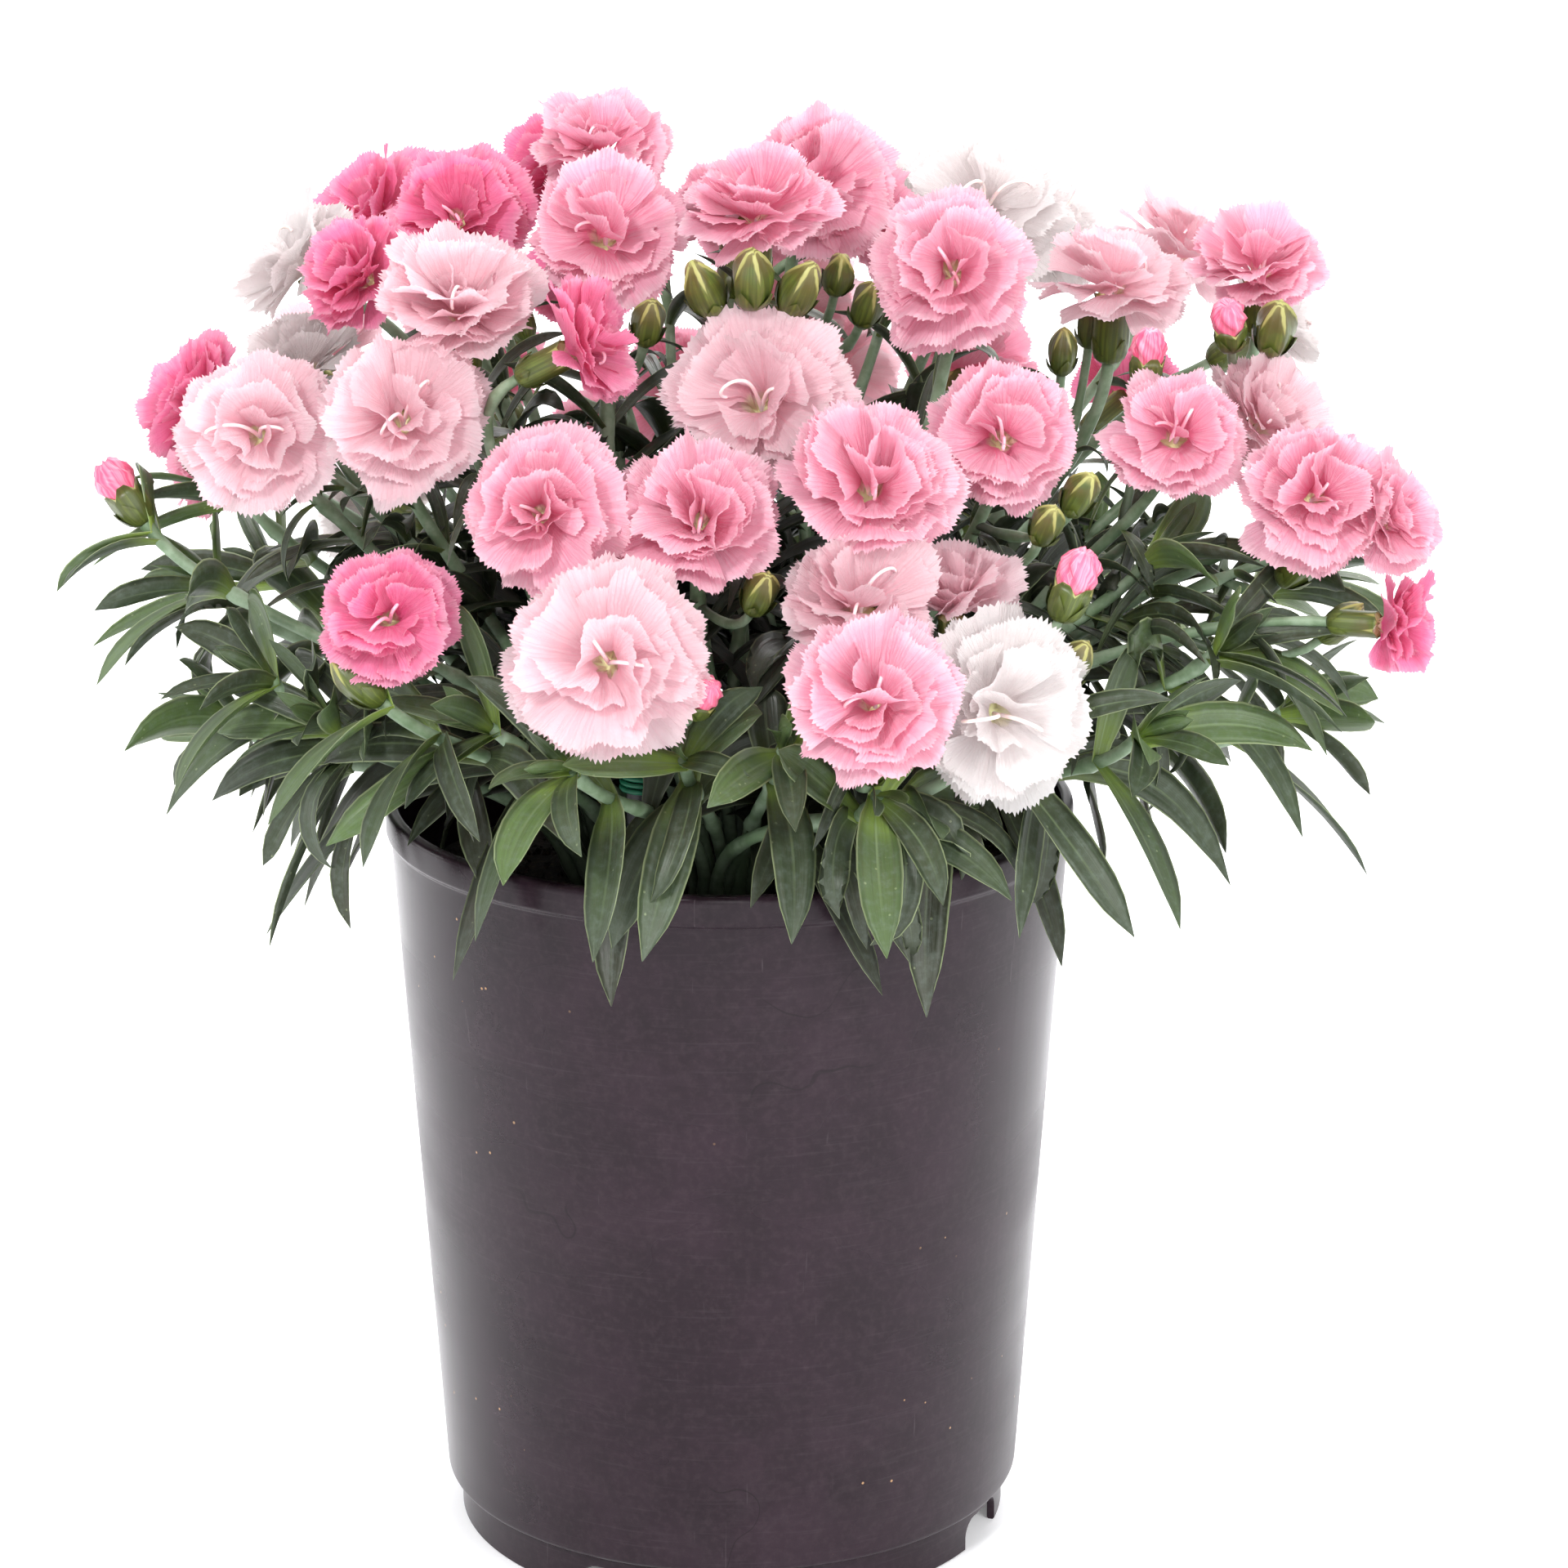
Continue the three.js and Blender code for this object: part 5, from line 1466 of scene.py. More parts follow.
@dataclass
class Soil:
    """The potting mix: a lumpy surface strewn with crumbs and bits of fibre."""

    bed: float = 11.35
    edge: float = 163
    crest: float = 166
    gap: float = 0.84
    rings: int = 22
    sides: int = 72
    crumb_kinds: int = 5

    def build(self, pot: Pot) -> None:
        """Builds and dresses the soil and its crumbs.

        Args:
            pot: The pot that it fills.
        """
        finish = SoilFinish().make()
        sketch = Sketch()
        loops = []
        for level, z in ((self.bed, self.bed), (90, 90), (self.edge, self.edge - 0.6)):
            radius = pot.inner(level) - self.gap
            loops.append([sketch.spot(compass(360 * i / self.sides, radius, z)) for i in range(self.sides)])
        reach = pot.inner(self.edge) - self.gap
        for k in range(self.rings - 1):
            share = 1 - (k + 1) / self.rings
            loops.append([])
            for i in range(self.sides):
                turn = 360 * (i + sway(0.3, k, i, 202)) / self.sides
                z = min(self._level(share) + sway(0.9, k, i, 201), self.crest + 0.4)
                loops[-1].append(sketch.spot(compass(turn, reach * share, z)))
        sketch.sleeve(loops)
        sketch.fan(loops[0][::-1], sketch.spot(np.array([0, 0, self.bed])))
        sketch.fan(loops[-1], sketch.spot(np.array([0, 0, self.crest])))
        hand_over(smooth(sketch.take("soil_surface"), finish), "potting_mix", "soil")

        box = gather("crumbs", [self._crumb(kind) for kind in range(self.crumb_kinds)])
        top = Sketch()
        top.sleeve([
            [top.spot(compass(5 * i, reach * share, self._level(share))) for i in range(72)]
            for share in (0.98, 0.5, 0.02)
        ])
        crumbs = scatter_tree().grow(top.take("crumb_bed"), "soil_crumbs", crumbs=box, density=85000.0, least=0.35,
                                     most=1.5, seed=4, finish=finish)
        clear(box)
        hand_over(crumbs, "potting_mix", "soil")

    def _level(self, share: float) -> float:
        """Height of the soil at a share of the way out to the pot."""
        return self.edge + (self.crest - self.edge) * (1 - share)

    def _crumb(self, kind: int) -> Piece:
        """Makes one crumb: a small irregular lump or, for the last kind, a fibre.

        Args:
            kind: Which of the crumbs.

        Returns:
            The crumb, about a millimetre in radius.
        """
        sketch = Sketch()
        long, thick = (3.2, 0.28) if kind == self.crumb_kinds - 1 else (1.0, 1.0)
        ring = [sketch.spot(np.array([math.cos(a) * thick, math.sin(a) * thick, 0]) * (1 + sway(0.3, kind, i, 211)))
                for i, a in enumerate(np.linspace(0, 2 * math.pi, 6)[:-1])]
        sketch.fan(ring, sketch.spot(np.array([sway(0.3, kind, 212), 0, 0.8 * long])))
        sketch.fan(ring[::-1], sketch.spot(np.array([0, sway(0.3, kind, 213), -0.7 * long])))
        return sketch.take(f"crumb_{kind}")


def gather(name: str, objects: Sequence[Piece]) -> Shapes:
    """Moves objects out of the scene and into a collection of shapes.

    Args:
        name: The collection's name.
        objects: The objects, in the order of their names.

    Returns:
        The collection.
    """
    box = bpy.data.collections.new(name)
    for shape in objects:
        bpy.context.scene.collection.objects.unlink(shape)
        box.objects.link(shape)
    return box


def clear(box: Shapes) -> None:
    """Removes a collection of shapes that is used up.

    Args:
        box: The collection.
    """
    for shape in list(box.objects):
        bpy.data.objects.remove(shape)
    bpy.data.collections.remove(box)


@dataclass
class StakeAndTie:
    """The dark stick near the front rim with green wire wound round its top."""

    at: tuple[float, float] = (-20, -60)
    radius: float = 3.2
    bottom: float = 45
    point: float = 12
    top: float = 214
    sides: int = 24
    tie_bottom: float = 204
    tie_gap: float = 0.4
    pitch: float = 1.5
    turns: float = 5.0
    wire: float = 0.62

    def build(self) -> None:
        """Builds and dresses the stick and the wire."""
        outline = rounded([(0.01, self.bottom, 0), (self.radius, self.bottom + self.point, 2), (self.radius, 120, 0),
                           (self.radius, self.top, 1.0), (0.01, self.top, 0)])
        sketch = Sketch()
        offset = np.array([self.at[0], self.at[1], 0])
        step = 360 // self.sides
        loops = [
            [sketch.spot(offset + compass(step * i, r * (1 + sway(0.01, i, 221)), z)) for i in range(self.sides)]
            for r, z in outline
        ]
        sketch.sleeve(loops)
        sketch.faces += [tuple(reversed(loops[0])), tuple(loops[-1])]
        stick = smooth(sketch.take("stake_stick"), StickFinish("stake_plastic", "26242a", "3b383f", 0.34).make(), 40)
        hand_over(stick, "stake_plastic", "stake")
        start = Sketch()
        start.spot(offset + np.array([0, 0, self.tie_bottom + self.wire + 0.1]))
        coil = coil_tree().grow(
            start.take("wire_start"), "tie_wire_coil", turns=self.turns,
            radius=(self.radius + self.tie_gap + self.wire) * METRE, height=self.turns * self.pitch * METRE,
            wire=self.wire * METRE, finish=StickFinish("wire_coating", "1d6b4f", "2f8a68", 0.3).make())
        hand_over(coil, "wire_coating", "tie_wire")


# ---- Blooms ----


@dataclass(frozen=True)
class PetalShape:
    """One petal of unit length along +Y, with a narrow claw and a broad, finely toothed fan.

    Its fan is half its spread in degrees. Its rows hold the place of each along the petal and how
    many columns it has.
    """

    fan: float
    wave: float
    cup: float
    curl: float
    skew: float
    key: int
    rows: tuple[tuple[float, int], ...] = (
        (0.0, 6), (0.13, 6), (0.27, 6), (0.44, 12), (0.63, 12), (0.81, 12), (0.955, 36))

    def place(self, u: float, v: float) -> Point:
        """Finds a point of the petal.

        Args:
            u: Place across the petal, from -1 to 1.
            v: Place along it, from 0 to a little over 1.

        Returns:
            The point, for a petal one unit long.
        """
        a, b, c, d = (6.3 * chance(self.key, i) for i in range(1, 5))
        opened = min(max((v - 0.06) / 0.46, 0), 1)
        opened = opened * opened * (3 - 2 * opened)
        near = min(max((v - 0.2) / 0.8, 0), 1.1)
        angle = math.radians(self.fan) * (u * (0.42 + 0.58 * opened) + 0.05 * near * math.sin(a))
        lobes = 1 + 0.036 * math.sin(4.3 * u + b) + 0.022 * math.sin(9.5 * u + c) - 0.17 * u**4
        reach = v * (1 + (lobes - 1) * near)
        broad = math.sin((2.2 + chance(self.key, 5)) * u + a)
        ripple = math.sin((6.0 + 2 * chance(self.key, 6)) * u + b)
        crimp = math.sin((17 + 5 * chance(self.key, 7)) * u + d)
        z = self.wave * (near**1.3 * broad + 0.55 * near**2 * ripple)
        z += (0.012 + 0.1 * self.wave) * near**6 * crimp
        z += self.cup * u * u * near + self.curl * near * near + self.skew * u * near
        z -= 0.5 * max(0.2 - v, 0)
        x = reach * math.sin(angle) + 0.3 * self.wave * near * ripple
        return np.array([x, reach * math.cos(angle) - 0.4 * self.wave * near**2 * broad, z])

    def build(self, name: str) -> Piece:
        """Makes the petal an object, a metre long.

        Args:
            name: The object's name.

        Returns:
            The object.
        """
        sketch = Sketch()
        made = []
        for v, columns in self.rows:
            jag = 0.012 if v > 0.9 else 0.0
            places = [2 * i / columns - 1 for i in range(columns + 1)]
            made.append([
                sketch.spot(self.place(u, v + sway(jag, self.key, i, 8)) / METRE, along=float(v), across=float(u))
                for i, u in enumerate(places)
            ])
        for low, high in zip(made, made[1:]):
            self._stitch(sketch, low, high)
        last, (v, columns) = made[-1], self.rows[-1]
        for i in range(columns):
            if chance(self.key, i, 9) < 0.88:
                u = (2 * i + 1 + sway(0.6, self.key, i, 10)) / columns - 1
                long = 0.01 + 0.04 * chance(self.key, i, 11)
                tip = sketch.spot(self.place(u, v + 0.01 + long) / METRE, along=1.0, across=float(u))
                sketch.faces.append((last[i], last[i + 1], tip))
        return sketch.take(name)

    @staticmethod
    def _stitch(sketch: Sketch, low: Sequence[int], high: Sequence[int]) -> None:
        """Fills the space between two rows of points.

        Args:
            sketch: What the faces are added to.
            low: The lower row.
            high: The upper row, which may have several times as many points.
        """
        ratio = (len(high) - 1) // (len(low) - 1)
        if ratio == 1:
            sketch.strip(low, high)
            return
        half = ratio // 2
        for i in range(len(low) - 1):
            upper = high[ratio * i : ratio * (i + 1) + 1]
            sketch.faces += [(low[i], upper[j + 1], upper[j]) for j in range(half)]
            sketch.faces += [(low[i + 1], upper[j + 1], upper[j]) for j in range(half, ratio)]
            sketch.faces.append((low[i], low[i + 1], upper[half]))


@dataclass(frozen=True)
class Whorl:
    """A ring of petals in a bloom, with their number, sizes, angles and shapes.

    They reach a share of the bloom's radius, lift from its face in degrees, are rooted at a height
    over its seat, start at an offset in degrees, and roll about their length in degrees.
    """

    count: int
    reach: float
    lift: float
    root: float
    offset: float
    shapes: tuple[int, ...]
    roll: float = 9


# Length of the styles on a typical bloom of each tint, and how pink they are.
STYLES = {Tint.ROSE: (14, 0.85), Tint.PINK: (14, 0.6), Tint.BLUSH: (18, 0.2), Tint.WHITE: (23, 0.0)}


@dataclass
class BloomHeads:
    """All the blooms: their petals, one piece for each CAD bloom, and their styles."""

    plan: Plan
    sweep: GeometryTree
    cluster: GeometryTree
    whorls: tuple[Whorl, ...] = (
        Whorl(5, 1.0, 7, 1.7, 36, (0, 1, 2, 3, 4)),
        Whorl(5, 0.95, 17, 2.0, 2, (0, 1, 2, 3, 4)),
        Whorl(5, 0.83, 29, 2.3, 27, (5, 6, 7, 8)),
        Whorl(4, 0.66, 42, 2.6, 50, (9, 10, 11, 12), 14),
        Whorl(4, 0.46, 58, 2.9, 15, (13, 14, 15), 20),
    )
    missing: float = 0.14
    style_steps: int = 24
    style_girth: float = 0.56

    def shapes(self) -> list[Piece]:
        """Makes the petal shapes that every bloom picks from.

        Returns:
            The shapes, in the order that the whorls number them.
        """
        thirds = [(i, i % 3) for i in range(5)]
        wide = [PetalShape(50, 0.085, 0.02 * i, -0.08 + 0.03 * k, 0.04 * (k - 1), 300 + i) for i, k in thirds]
        middle = [PetalShape(48, 0.09, 0.05 * i, -0.14 + 0.06 * i, 0.06 * (i - 1), 320 + i) for i in range(4)]
        inner = [PetalShape(46, 0.11, 0.1 + 0.06 * i, -0.18 + 0.08 * i, 0.1 * (i - 1), 340 + i) for i in range(4)]
        heart = [PetalShape(44, 0.13, 0.3, -0.15 + 0.1 * i, 0.14 * (i - 1), 360 + i) for i in range(3)]
        return [shape.build(f"petal_{i:02d}") for i, shape in enumerate(wide + middle + inner + heart)]

    def petals(self, bloom: Bloom, sketch: Sketch) -> None:
        """Adds a point for each petal of a bloom, with its direction, size and shape.

        Args:
            bloom: The bloom.
            sketch: What the points are added to.
        """
        radius = bloom.wide / 2
        mood = chance(bloom.number, 61)
        tilt = (4 + 11 * chance(bloom.number, 69)) * (0.2 if bloom.nod > 45 else 1)
        bias = 90 + sway(65, bloom.number, 70)
        for level, whorl in enumerate(self.whorls):
            for i in range(whorl.count):
                keys = (bloom.number, level, i)
                if level > 0 and chance(*keys, 60) < self.missing:
                    continue
                bearing = whorl.offset + 360 / whorl.count * i + sway(20, *keys, 62)
                out = bloom.across_face(bearing)
                uneven = cos_sin(bearing - bias)[0]
                lift = whorl.lift + bloom.cup + tilt * uneven * (0.4 + 0.25 * level) + sway(8 + 3 * level, *keys, 63)
                cos, sin = cos_sin(lift)
                ahead = out * cos + bloom.normal * sin
                over = turned(bloom.normal * cos - out * sin, ahead, whorl.roll + sway(9 + 3 * level, *keys, 64))
                start = bloom.seat + out * 0.6 * bloom.scale + bloom.normal * whorl.root * bloom.scale
                flat = max(cos_sin(whorl.lift + bloom.cup)[0], 0.55)
                grown = 0.98 + 0.05 * uneven + sway(0.09 + 0.03 * level, *keys, 65)
                length = (radius * whorl.reach - 0.6 * bloom.scale) / flat * grown
                wide = length * (1.02 + sway(0.16, *keys, 66))
                shape = whorl.shapes[int(chance(*keys, 67) * len(whorl.shapes)) % len(whorl.shapes)]
                size = (wide * METRE, length * METRE, length * METRE)
                tone = float(0.5 * mood + 0.5 * chance(*keys, 68))
                sketch.spot(start, ahead=tuple(ahead), over=tuple(over), size=size, shape=shape, tone=tone)

    def build(self) -> None:
        """Builds and dresses all the petals and styles."""
        finishes = {tint: finish.make() for tint, finish in PETAL_FINISHES.items()}
        box = gather("petal_shapes", self.shapes())
        heads: dict[str, list[Bloom]] = {}
        for bloom in self.plan.blooms:
            heads.setdefault(bloom.node, []).append(bloom)
        for node, blooms in heads.items():
            sketch = Sketch()
            for bloom in blooms:
                self.petals(bloom, sketch)
            tint = blooms[0].tint
            piece = self.cluster.grow(
                sketch.take("petal_points"), node.replace("bloom", "petals"), shapes=box, crumple=0.002, grain=110.0,
                seed=blooms[0].number, finish=finishes[tint])
            hand_over(piece, f"petals_{tint.value}", node)
        clear(box)
        self.styles()

    def styles(self) -> None:
        """Builds and dresses two curled styles for each bloom."""
        sketch = Sketch()
        steps = self.style_steps
        for bloom in self.plan.blooms:
            long, tone = STYLES[bloom.tint]
            for i in (0, 1):
                keys = (bloom.number, i)
                out = bloom.across_face(360 * chance(bloom.number, 101) + 150 * i + sway(30, *keys, 102))
                curl = 4.0 + 5.0 * chance(*keys, 103)
                reach = long * bloom.scale * (1 + sway(0.25, *keys, 104))
                points, heading, here = [], math.radians(84), bloom.seat + bloom.normal
                for step in range(steps):
                    points.append(here)
                    t = step / (steps - 1)
                    heading -= (0.4 + curl * max(t - 0.35, 0) / 0.4) / steps
                    here = here + (out * math.cos(heading) + bloom.normal * math.sin(heading)) * reach / steps
                axis = np.cross(out, bloom.normal)
                girth = [self.style_girth * (1 - 0.3 * k / steps) for k in range(steps)]
                sketch.line(points, girth=girth, facing=[tuple(axis)] * steps, tone=[tone] * steps)
        ring = section("style_section", circle(6))
        piece = self.sweep.grow(sketch.take("style_lines"), "styles", section=ring, finish=StyleFinish().make())
        bpy.data.objects.remove(ring)
        hand_over(piece, "petals_white")


def circle(sides: int) -> list[Place]:
    """The corners of a round section one unit in radius, with their place round it from 0 to 1."""
    angles = [2 * math.pi * i / sides for i in range(sides)]
    return [(math.cos(a), math.sin(a), abs(2 * i / sides - 1)) for i, a in enumerate(angles)]


def section(name: str, corners: Sequence[Place]) -> Piece:
    """Makes a section that can be swept along lines.

    Args:
        name: Its name.
        corners: Its points as x, y and their place across or round it.

    Returns:
        The section as an object of one closed line.
    """
    sketch = Sketch()
    sketch.line([np.array([x, y, 0.0]) for x, y, _ in corners], closed=True, across=[float(c[2]) for c in corners])
    return sketch.take(name)


# ---- Stems, leaves, calyces and buds ----


# A leaf's section, in half widths, round its lower face and back over its upper one.
LEAF_SECTION = ((-1, 0.28), (-0.5, 0.02), (0, -0.16), (0.5, 0.02), (1, 0.28), (0.52, 0.11), (0, -0.01), (-0.52, 0.11))
# How wide a leaf is along its length, against its greatest width.
LEAF_WIDTHS = ((0, 0.42), (0.07, 0.5), (0.22, 0.82), (0.38, 0.98), (0.56, 1), (0.74, 0.85), (0.88, 0.54), (1, 0.02))
# Place along the axis and radius of each ring of a calyx, a closed bud, an opening bud and its petals.
CALYX = ((0, 1.35), (0.6, 2.6), (1.6, 3.7), (3, 4.15), (6, 4.35), (10, 4.3), (13.5, 4.3), (16, 4.35))
CLOSED_BUD = ((0, 1.3), (0.5, 2.4), (1.6, 3.2), (3.6, 3.8), (6.2, 4.1), (8.8, 4.0), (11, 3.4), (13, 2.4), (14.6, 1.3))
OPEN_BUD = ((0, 1.3), (0.5, 2.5), (1.6, 3.3), (3.4, 3.95), (5.4, 4.2), (7.2, 4.2))
TUFT = ((7.4, 3.5), (9.4, 4.15), (11.6, 4.5), (13.8, 4.2), (15.6, 3.2), (16.6, 1.9))
# Place along the axis, share of the width and distance from the axis of a bract's lower rows.
BRACT = ((0.1, 0.5, 1.9), (1.2, 1.0, 3.4), (3.0, 0.9, 4.5))


@dataclass
class Greenery:
    """Everything green, one set of pieces for each plant in the pot."""

    plan: Plan
    sweep: GeometryTree
    cluster: GeometryTree
    stem_radius: float = 1.6
    neck_radius: float = 1.36
    shoot_neck: float = 1.5
    stalk_radius: float = 1.1
    buried: float = 5
    leaf_steps: int = 12
    leaf_samples: int = 45
    stem_steps: int = 26
    stalk_steps: int = 8
    bud_length: float = 15
    calyx_kinds: int = 3
    closed_kinds: int = 3
    open_kinds: int = 2

    def leaf_lines(self, leaves: Sequence[Leaf]) -> Sketch:
        """Draws the middle lines of leaves.

        Args:
            leaves: The leaves.

        Returns:
            The lines, with their half widths, their age and which way they face.
        """
        sketch = Sketch()
        shares = np.linspace(0, 1, self.leaf_steps) ** 0.92
        widths = table(shares, LEAF_WIDTHS)
        last = self.leaf_samples - 1
        for leaf in leaves:
            whole = leaf.middle(self.leaf_samples)
            line = [whole[min(int(round(s * last)), last)] for s in shares]
            twist = sway(38 + 24 * leaf.loose, leaf.number, 73)
            faces = []
            for k, share in enumerate(shares):
                ahead = unit(line[min(k + 1, len(line) - 1)] - line[max(k - 1, 0)])
                edge = square_to(leaf.across, ahead)
                faces.append(tuple(-turned(edge, ahead, twist * share**1.5)))
            girth = (leaf.width / 2 * widths).tolist()
            tone = float(min(max(leaf.young + sway(0.12, leaf.number, 74), 0), 1))
            sketch.line(line, girth=girth, facing=faces, along=shares.tolist(), tone=[tone] * len(line))
        return sketch

    def stem_lines(self, clump: int) -> Sketch:
        """Draws the middle lines of a clump's stems, from just under the soil, and of its buds' stalks.

        Args:
            clump: Which clump.

        Returns:
            The lines, with their radii.
        """
        sketch, plan = Sketch(), self.plan
        stems = [(stem, self.neck_radius * bloom.scale + 0.1) for stem, bloom in zip(plan.flower_stems, plan.blooms)]
        stems += [(stem, self.shoot_neck) for stem in plan.shoot_stems]
        for stem, neck in stems:
            if stem.clump != clump:
                continue
            line = [stem.point(0) - UP * self.buried] + [stem.point(s) for s in np.linspace(0, 1, self.stem_steps)]
            shares = np.linspace(0, 1, len(line))
            self._add_tube(sketch, line, [self.stem_radius * (1 - t) + neck * t for t in shares])
        for bud in plan.buds:
            stem = plan.flower_stems[bud.of - 1]
            if stem.clump == clump:
                axis, base = self.bud_axis(bud)
                start = stem.point(bud.up)
                t = np.linspace(0, 1, self.stalk_steps)[:, None]
                handle = base - axis * 0.4 * np.linalg.norm(base - start)
                line = list(start * (1 - t) ** 2 + 2 * handle * t * (1 - t) + base * t**2)
                self._add_tube(sketch, line, [self.stalk_radius] * self.stalk_steps)
        return sketch

    @staticmethod
    def _add_tube(sketch: Sketch, line: Sequence[Point], girth: Sequence[float]) -> None:
        """Adds a round line whose section doesn't twist.

        Args:
            sketch: What the line is added to.
            line: Its points.
            girth: Its radius at each point.
        """
        side = np.array([1.0, 0, 0])
        sides = []
        for k in range(len(line)):
            ahead = unit(line[min(k + 1, len(line) - 1)] - line[max(k - 1, 0)])
            side = square_to(side, ahead)
            sides.append(tuple(side))
        along = np.linspace(0, 1, len(line)).tolist()
        sketch.line(line, girth=[float(g) for g in girth], facing=sides, along=along)

    def bud_axis(self, bud: Bud) -> tuple[Point, Point]:
        """Finds how a bud stands.

        Args:
            bud: The bud.

        Returns:
            Its direction and the point where its stalk joins.
        """
        start = self.plan.flower_stems[bud.of - 1].point(bud.up)
        axis = unit(unit(bud.at - start) + UP * 0.8)
        return axis, bud.at - axis * self.bud_length * bud.size / 2

    def calyx(self, name: str, key: int) -> Piece:
        """Makes a calyx along +Y, 16 long up to its mouth, with five teeth and bracts at its foot.

        Args:
            name: The object's name.
            key: Key of its small differences.

        Returns:
            The calyx.
        """
        sketch = Sketch()
        ring = self._ring(20)
        loops = [
            [sketch.spin(share, radius * (1 + 0.025 * rib), z, z / 20.5) for _, share, _, rib in ring]
            for z, radius in CALYX
        ]
        edge = [16 + 1.5 * tooth + sway(0.2, key, i, 231) for i, _, tooth, _ in ring]
        loops.append([sketch.spin(share, 4.5 + 0.35 * t, edge[i], 0.78 + 0.22 * t) for i, share, t, _ in ring])
        loops.append([sketch.spin(share, 4.15 + 0.35 * t, 15.8 + 1.5 * t, 0.78) for _, share, t, _ in ring])
        loops.append([sketch.spin(share, 3.7, 15.4, 1.4) for _, share, _, _ in ring])
        sketch.sleeve(loops, turned_over=True)
        sketch.fan(loops[0], sketch.spin(0, 0, -0.4, 0))
        sketch.fan(loops[-1][::-1], sketch.spin(0, 0, 15.6, 1.4))
        self._add_bracts(sketch, key, 4, 6.6, 3.3)
        return sketch.take(name)

    @staticmethod
    def _ring(sides: int) -> list[tuple[int, float, float, float]]:
        """Each point's number, share of the way round, tooth from 0 to 1 and rib from -1 to 1."""
        shares = [(i, i / sides) for i in range(sides)]
        return [(i, t, 1 - abs(2 * ((5 * t) % 1) - 1), math.cos(10 * math.pi * i / sides)) for i, t in shares]

    def _add_bracts(self, sketch: Sketch, key: int, count: int, long: float, half: float) -> None:
        """Adds pointed bracts that hug the foot of a calyx or bud.

        Args:
            sketch: What they are added to.
            key: Key of their small differences.
            count: How many there are.
            long: Their length.
            half: Half their width.
        """
        for b in range(count):
            middle = b / count + sway(0.02, key, b, 232)
            reach = long * (1 + sway(0.15, key, b, 233))
            outline = BRACT + ((reach * 0.75, 0.45, 4.9), (reach, 0.0, 5.1))
            bract = []
            for z, wide, off in outline:
                spread = wide * half / 4.6 / (2 * math.pi)
                bract.append([
                    sketch.spin(middle + side * spread, off - 0.35 * abs(side), z, 0.2 + 0.35 * z / reach)
                    for side in (-1, 0, 1)
                ])
            sketch.sleeve(bract, closed=False, turned_over=True)

    def bud(self, name: str, key: int, opening: bool) -> Piece:
        """Makes a bud along +Y: an egg-shaped calyx with its teeth closed or petals pushing out.

        Args:
            name: The object's name.
            key: Key of its small differences.
            opening: Whether its petals show.

        Returns:
            The bud.
        """
        sketch = Sketch()
        ring = self._ring(15)
        loops = [
            [sketch.spin(share, r * (1 + (0.03 + 0.016 * z) * rib), z, z / self.bud_length)
             for _, share, _, rib in ring]
            for z, r in (OPEN_BUD if opening else CLOSED_BUD)
        ]
        if opening:
            loops.append([
                sketch.spin(share, 4.3 + 0.35 * tooth, 7.9 + 2.9 * tooth, 0.8 + 0.2 * tooth)
                for _, share, tooth, _ in ring
            ])
            loops.append([sketch.spin(share, 3.6, 7.8, 0.7) for _, share, _, _ in ring])
        sketch.sleeve(loops, turned_over=True)
        sketch.fan(loops[0], sketch.spin(0, 0, -0.3, 0))
        sketch.fan(loops[-1][::-1], sketch.spin(0, 0, 7.6 if opening else 15.8, 1))
        if opening:
            self._add_tuft(sketch, key)
        self._add_bracts(sketch, key, 4, 6.2, 3.0)
        return sketch.take(name)

    def _add_tuft(self, sketch: Sketch, key: int) -> None:
        """Adds the folded petals that push out of an opening bud.

        Args:
            sketch: What they are added to.
            key: Key of their small differences.
        """
        petals = []
        for z, r in TUFT:
            shares = [(i, i / 24 + 0.035 * (z - 9)) for i in range(24)]
            folds = [1 + 0.13 * math.cos(6 * math.pi * i / 12) * min((z - 7) / 6, 1) for i in range(24)]
            petals.append([
                sketch.spin(share, r * folds[i], z + sway(0.5, key, i, 241) * (z > 14), 0.7, 1.0)
                for i, share in shares
            ])
        sketch.sleeve(petals, turned_over=True)
        sketch.fan(petals[-1][::-1], sketch.spin(0, 0, 16.2, 0.8, 1.0))

    def build(self) -> None:
        """Builds and dresses all the greenery."""
        leaf, stem, calyx = LeafFinish().make(), StemFinish().make(), CalyxFinish().make()
        blade = section("leaf_section", [(x, y, x) for x, y in LEAF_SECTION])
        ring = section("stem_section", circle(10))
        first_closed, first_open = self.calyx_kinds, self.calyx_kinds + self.closed_kinds
        shapes = [self.calyx(f"green_{i}", i) for i in range(self.calyx_kinds)]
        shapes += [self.bud(f"green_{first_closed + i}", i, False) for i in range(self.closed_kinds)]
        shapes += [self.bud(f"green_{first_open + i}", i, True) for i in range(self.open_kinds)]
        box = gather("green_shapes", shapes)
        for clump, name in enumerate(CLUMPS):
            node = f"plant_{name}"
            own = [one for one in self.plan.leaves if one.clump == clump]
            lines = self.leaf_lines(own).take("leaf_lines")
            hand_over(self.sweep.grow(lines, f"leaves_{name}", section=blade, finish=leaf), "foliage", node)
            stems = self.sweep.grow(self.stem_lines(clump).take("stem_lines"), f"stems_{name}", section=ring,
                                    swelling=0.42, spacing=0.027, finish=stem)
            hand_over(stems, "foliage", node)
            spots = self.heads(clump).take("head_points")
            hand_over(self.cluster.grow(spots, f"calyces_{name}", shapes=box, finish=calyx), "foliage", node)
        clear(box)
        bpy.data.objects.remove(blade)
        bpy.data.objects.remove(ring)

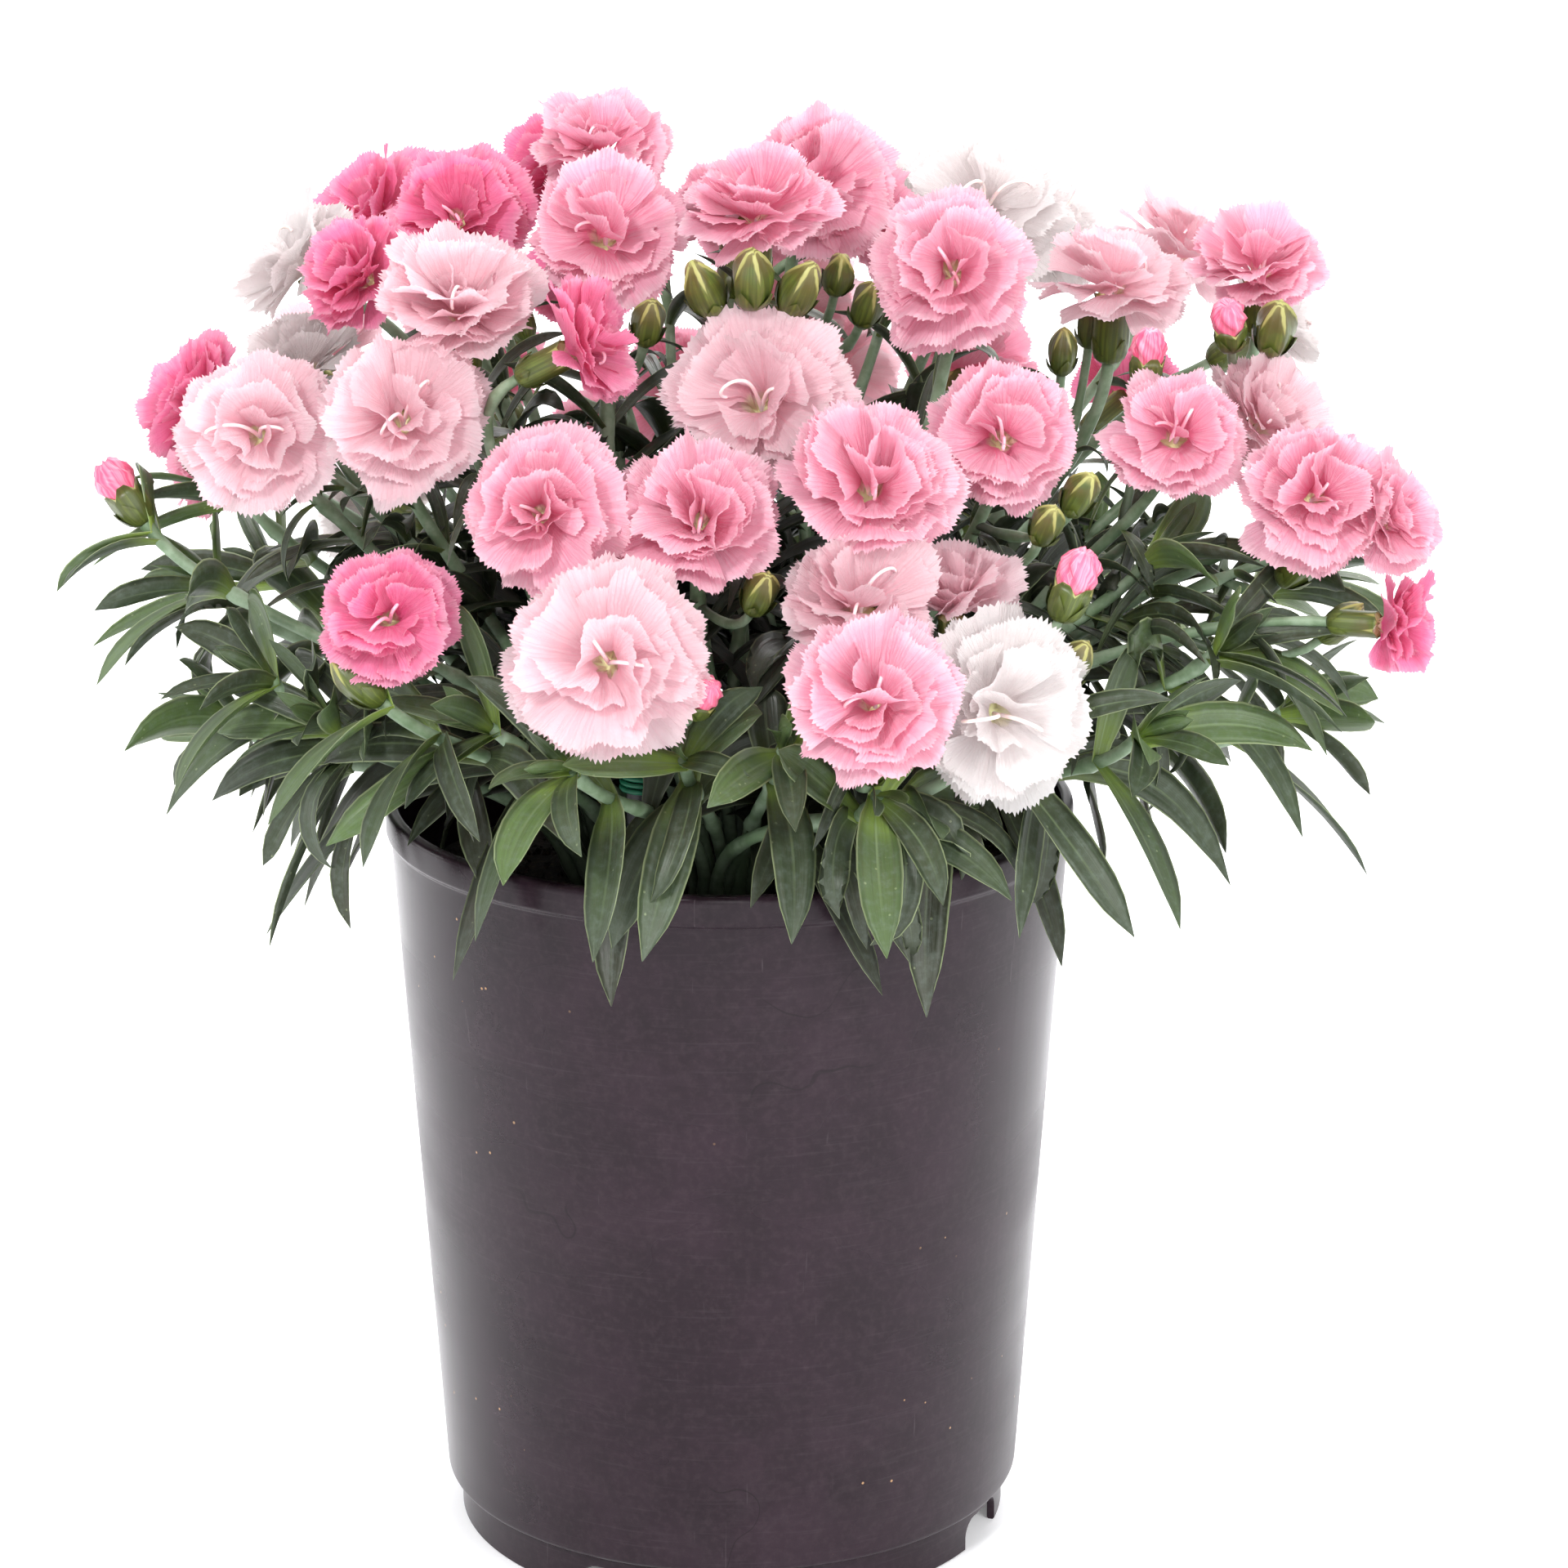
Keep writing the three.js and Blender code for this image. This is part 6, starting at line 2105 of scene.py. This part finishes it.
    def heads(self, clump: int) -> Sketch:
        """Places the calyces and buds of a clump.

        Args:
            clump: Which clump.

        Returns:
            A point for each, with its direction, size and shape.
        """
        sketch, plan = Sketch(), self.plan
        first_closed, first_open = self.calyx_kinds, self.calyx_kinds + self.closed_kinds

        def add(at: Point, ahead: Point, size: float, shape: int, key: int) -> None:
            """Adds a point with its direction, size and shape, and with the key of its small differences."""
            over = tuple(turned(square_to(np.array([0.3, 0.9, 0.2]), ahead), ahead, 360 * chance(key, 251)))
            sketch.spot(at, ahead=tuple(ahead), over=over, size=(size,) * 3, shape=shape, tone=chance(key, 252))

        for bloom, stem in zip(plan.blooms, plan.flower_stems):
            if stem.clump == clump:
                add(bloom.foot, bloom.normal, bloom.scale, bloom.number % self.calyx_kinds, bloom.number)
        for i, bud in enumerate(plan.buds):
            if plan.flower_stems[bud.of - 1].clump == clump:
                axis, base = self.bud_axis(bud)
                opening, closed = first_open + i % self.open_kinds, first_closed + i % self.closed_kinds
                add(base, axis, bud.size, opening if i in OPENING_BUDS else closed, 100 + i)
        for i, (shoot, stem) in enumerate(zip(plan.shoots, plan.shoot_stems)):
            if shoot.bud and stem.clump == clump:
                add(stem.point(1), stem.heading(1), shoot.bud, first_closed if i else first_open, 200 + i)
        return sketch


# ---- Studio ----


@dataclass(frozen=True)
class Lamp:
    """A large soft lamp: where it hangs, length of its sides, power in watts and what it shines at."""

    name: str
    at: Place
    size: float
    power: float
    towards: Place = (0, 0, 0.22)

    def hang(self) -> None:
        """Adds the lamp to the scene."""
        light = bpy.data.lights.new(self.name, "AREA")
        light.size = self.size
        light.energy = self.power
        lamp = put_in_scene(self.name, light)
        lamp.location = self.at
        direction = np.array(self.towards) - np.array(self.at)
        yaw = math.atan2(direction[0], -direction[1])
        tilt = math.atan2(math.hypot(direction[0], direction[1]), -direction[2])
        lamp.rotation_euler = (tilt, 0, yaw + math.pi)


@dataclass
class Studio:
    """The floor, the soft lights and the camera, in metres but for the floor."""

    lamps: tuple[Lamp, ...] = (
        Lamp("key", (-0.8, -1.85, 1.65), 0.34, 31.5),
        Lamp("fill", (1.3, -1.5, 1.15), 1.3, 25),
        Lamp("low", (0.3, -1.9, 0.75), 1.0, 8),
        Lamp("left", (-1.8, 0.5, 0.7), 1.0, 10),
        Lamp("back", (0.5, 1.5, 1.7), 1.2, 30),
        Lamp("wall", (0, 1.2, 2.6), 2.0, 90, (0, 3.4, 0.9)),
    )
    lens: float = 105
    film: float = 36
    camera_at: Place = (0.0133, -1.0755, 0.5035)
    pitch: float = 0.285
    sky: float = 0.7
    floor_bend: float = 1300
    floor_back: float = 2400
    floor_half: float = 6000
    wall_height: float = 4200

    def build(self) -> None:
        """Sets up the floor, the light and the camera."""
        self._lay_floor()
        self._light_room()
        for lamp in self.lamps:
            lamp.hang()
        view = bpy.data.cameras.new("view")
        view.lens = self.lens
        view.sensor_width = self.film
        view.clip_end = 20
        camera = put_in_scene("view", view)
        camera.location = self.camera_at
        camera.rotation_euler = (math.pi / 2 - self.pitch, 0, 0)
        bpy.context.scene.camera = camera
        bpy.context.scene.view_settings.view_transform = "Standard"

    def _lay_floor(self) -> None:
        """Lays the floor, which bends up into a wall behind the plant."""
        floor = Sketch()
        bend, back = self.floor_bend, self.floor_back
        line = [(-self.floor_half, 0.0)]
        line += [(back + bend * math.sin(a), bend * (1 - math.cos(a))) for a in np.linspace(0, math.pi / 2, 13)]
        line.append((back + bend, self.wall_height))
        sides = [[floor.spot(np.array([x, y, z])) for y, z in line] for x in (self.floor_half, -self.floor_half)]
        floor.strip(sides[0], sides[1])
        smooth(floor.take("floor"), FloorFinish().make())

    def _light_room(self) -> None:
        """Makes the room white, and dimmer as a light on the plant than it looks."""
        world = bpy.data.worlds.new("white_room")
        world.use_nodes = True
        nodes, links = world.node_tree.nodes, world.node_tree.links
        nodes["Background"].inputs["Color"].default_value = (1.0, 1.0, 1.0, 1.0)
        seen, level = nodes.new("ShaderNodeLightPath"), nodes.new("ShaderNodeMapRange")
        level.inputs["To Min"].default_value, level.inputs["To Max"].default_value = self.sky, 1.0
        links.new(seen.outputs["Is Camera Ray"], level.inputs["Value"])
        links.new(level.outputs["Result"], nodes["Background"].inputs["Strength"])
        bpy.context.scene.world = world


def main() -> None:
    """Builds the plant, its pot and the studio, and reports each piece."""
    logging.basicConfig(level=logging.INFO, format="%(message)s")
    Studio().build()
    plan = Plan()
    LOG.info("leaves: %d", len(plan.leaves))
    pot = Pot()
    pot.build()
    Soil().build(pot)
    StakeAndTie().build()
    sweep, cluster = sweep_tree(), cluster_tree()
    Greenery(plan, sweep, cluster).build()
    BloomHeads(plan, sweep, cluster).build()


if __name__ == "__main__":
    main()
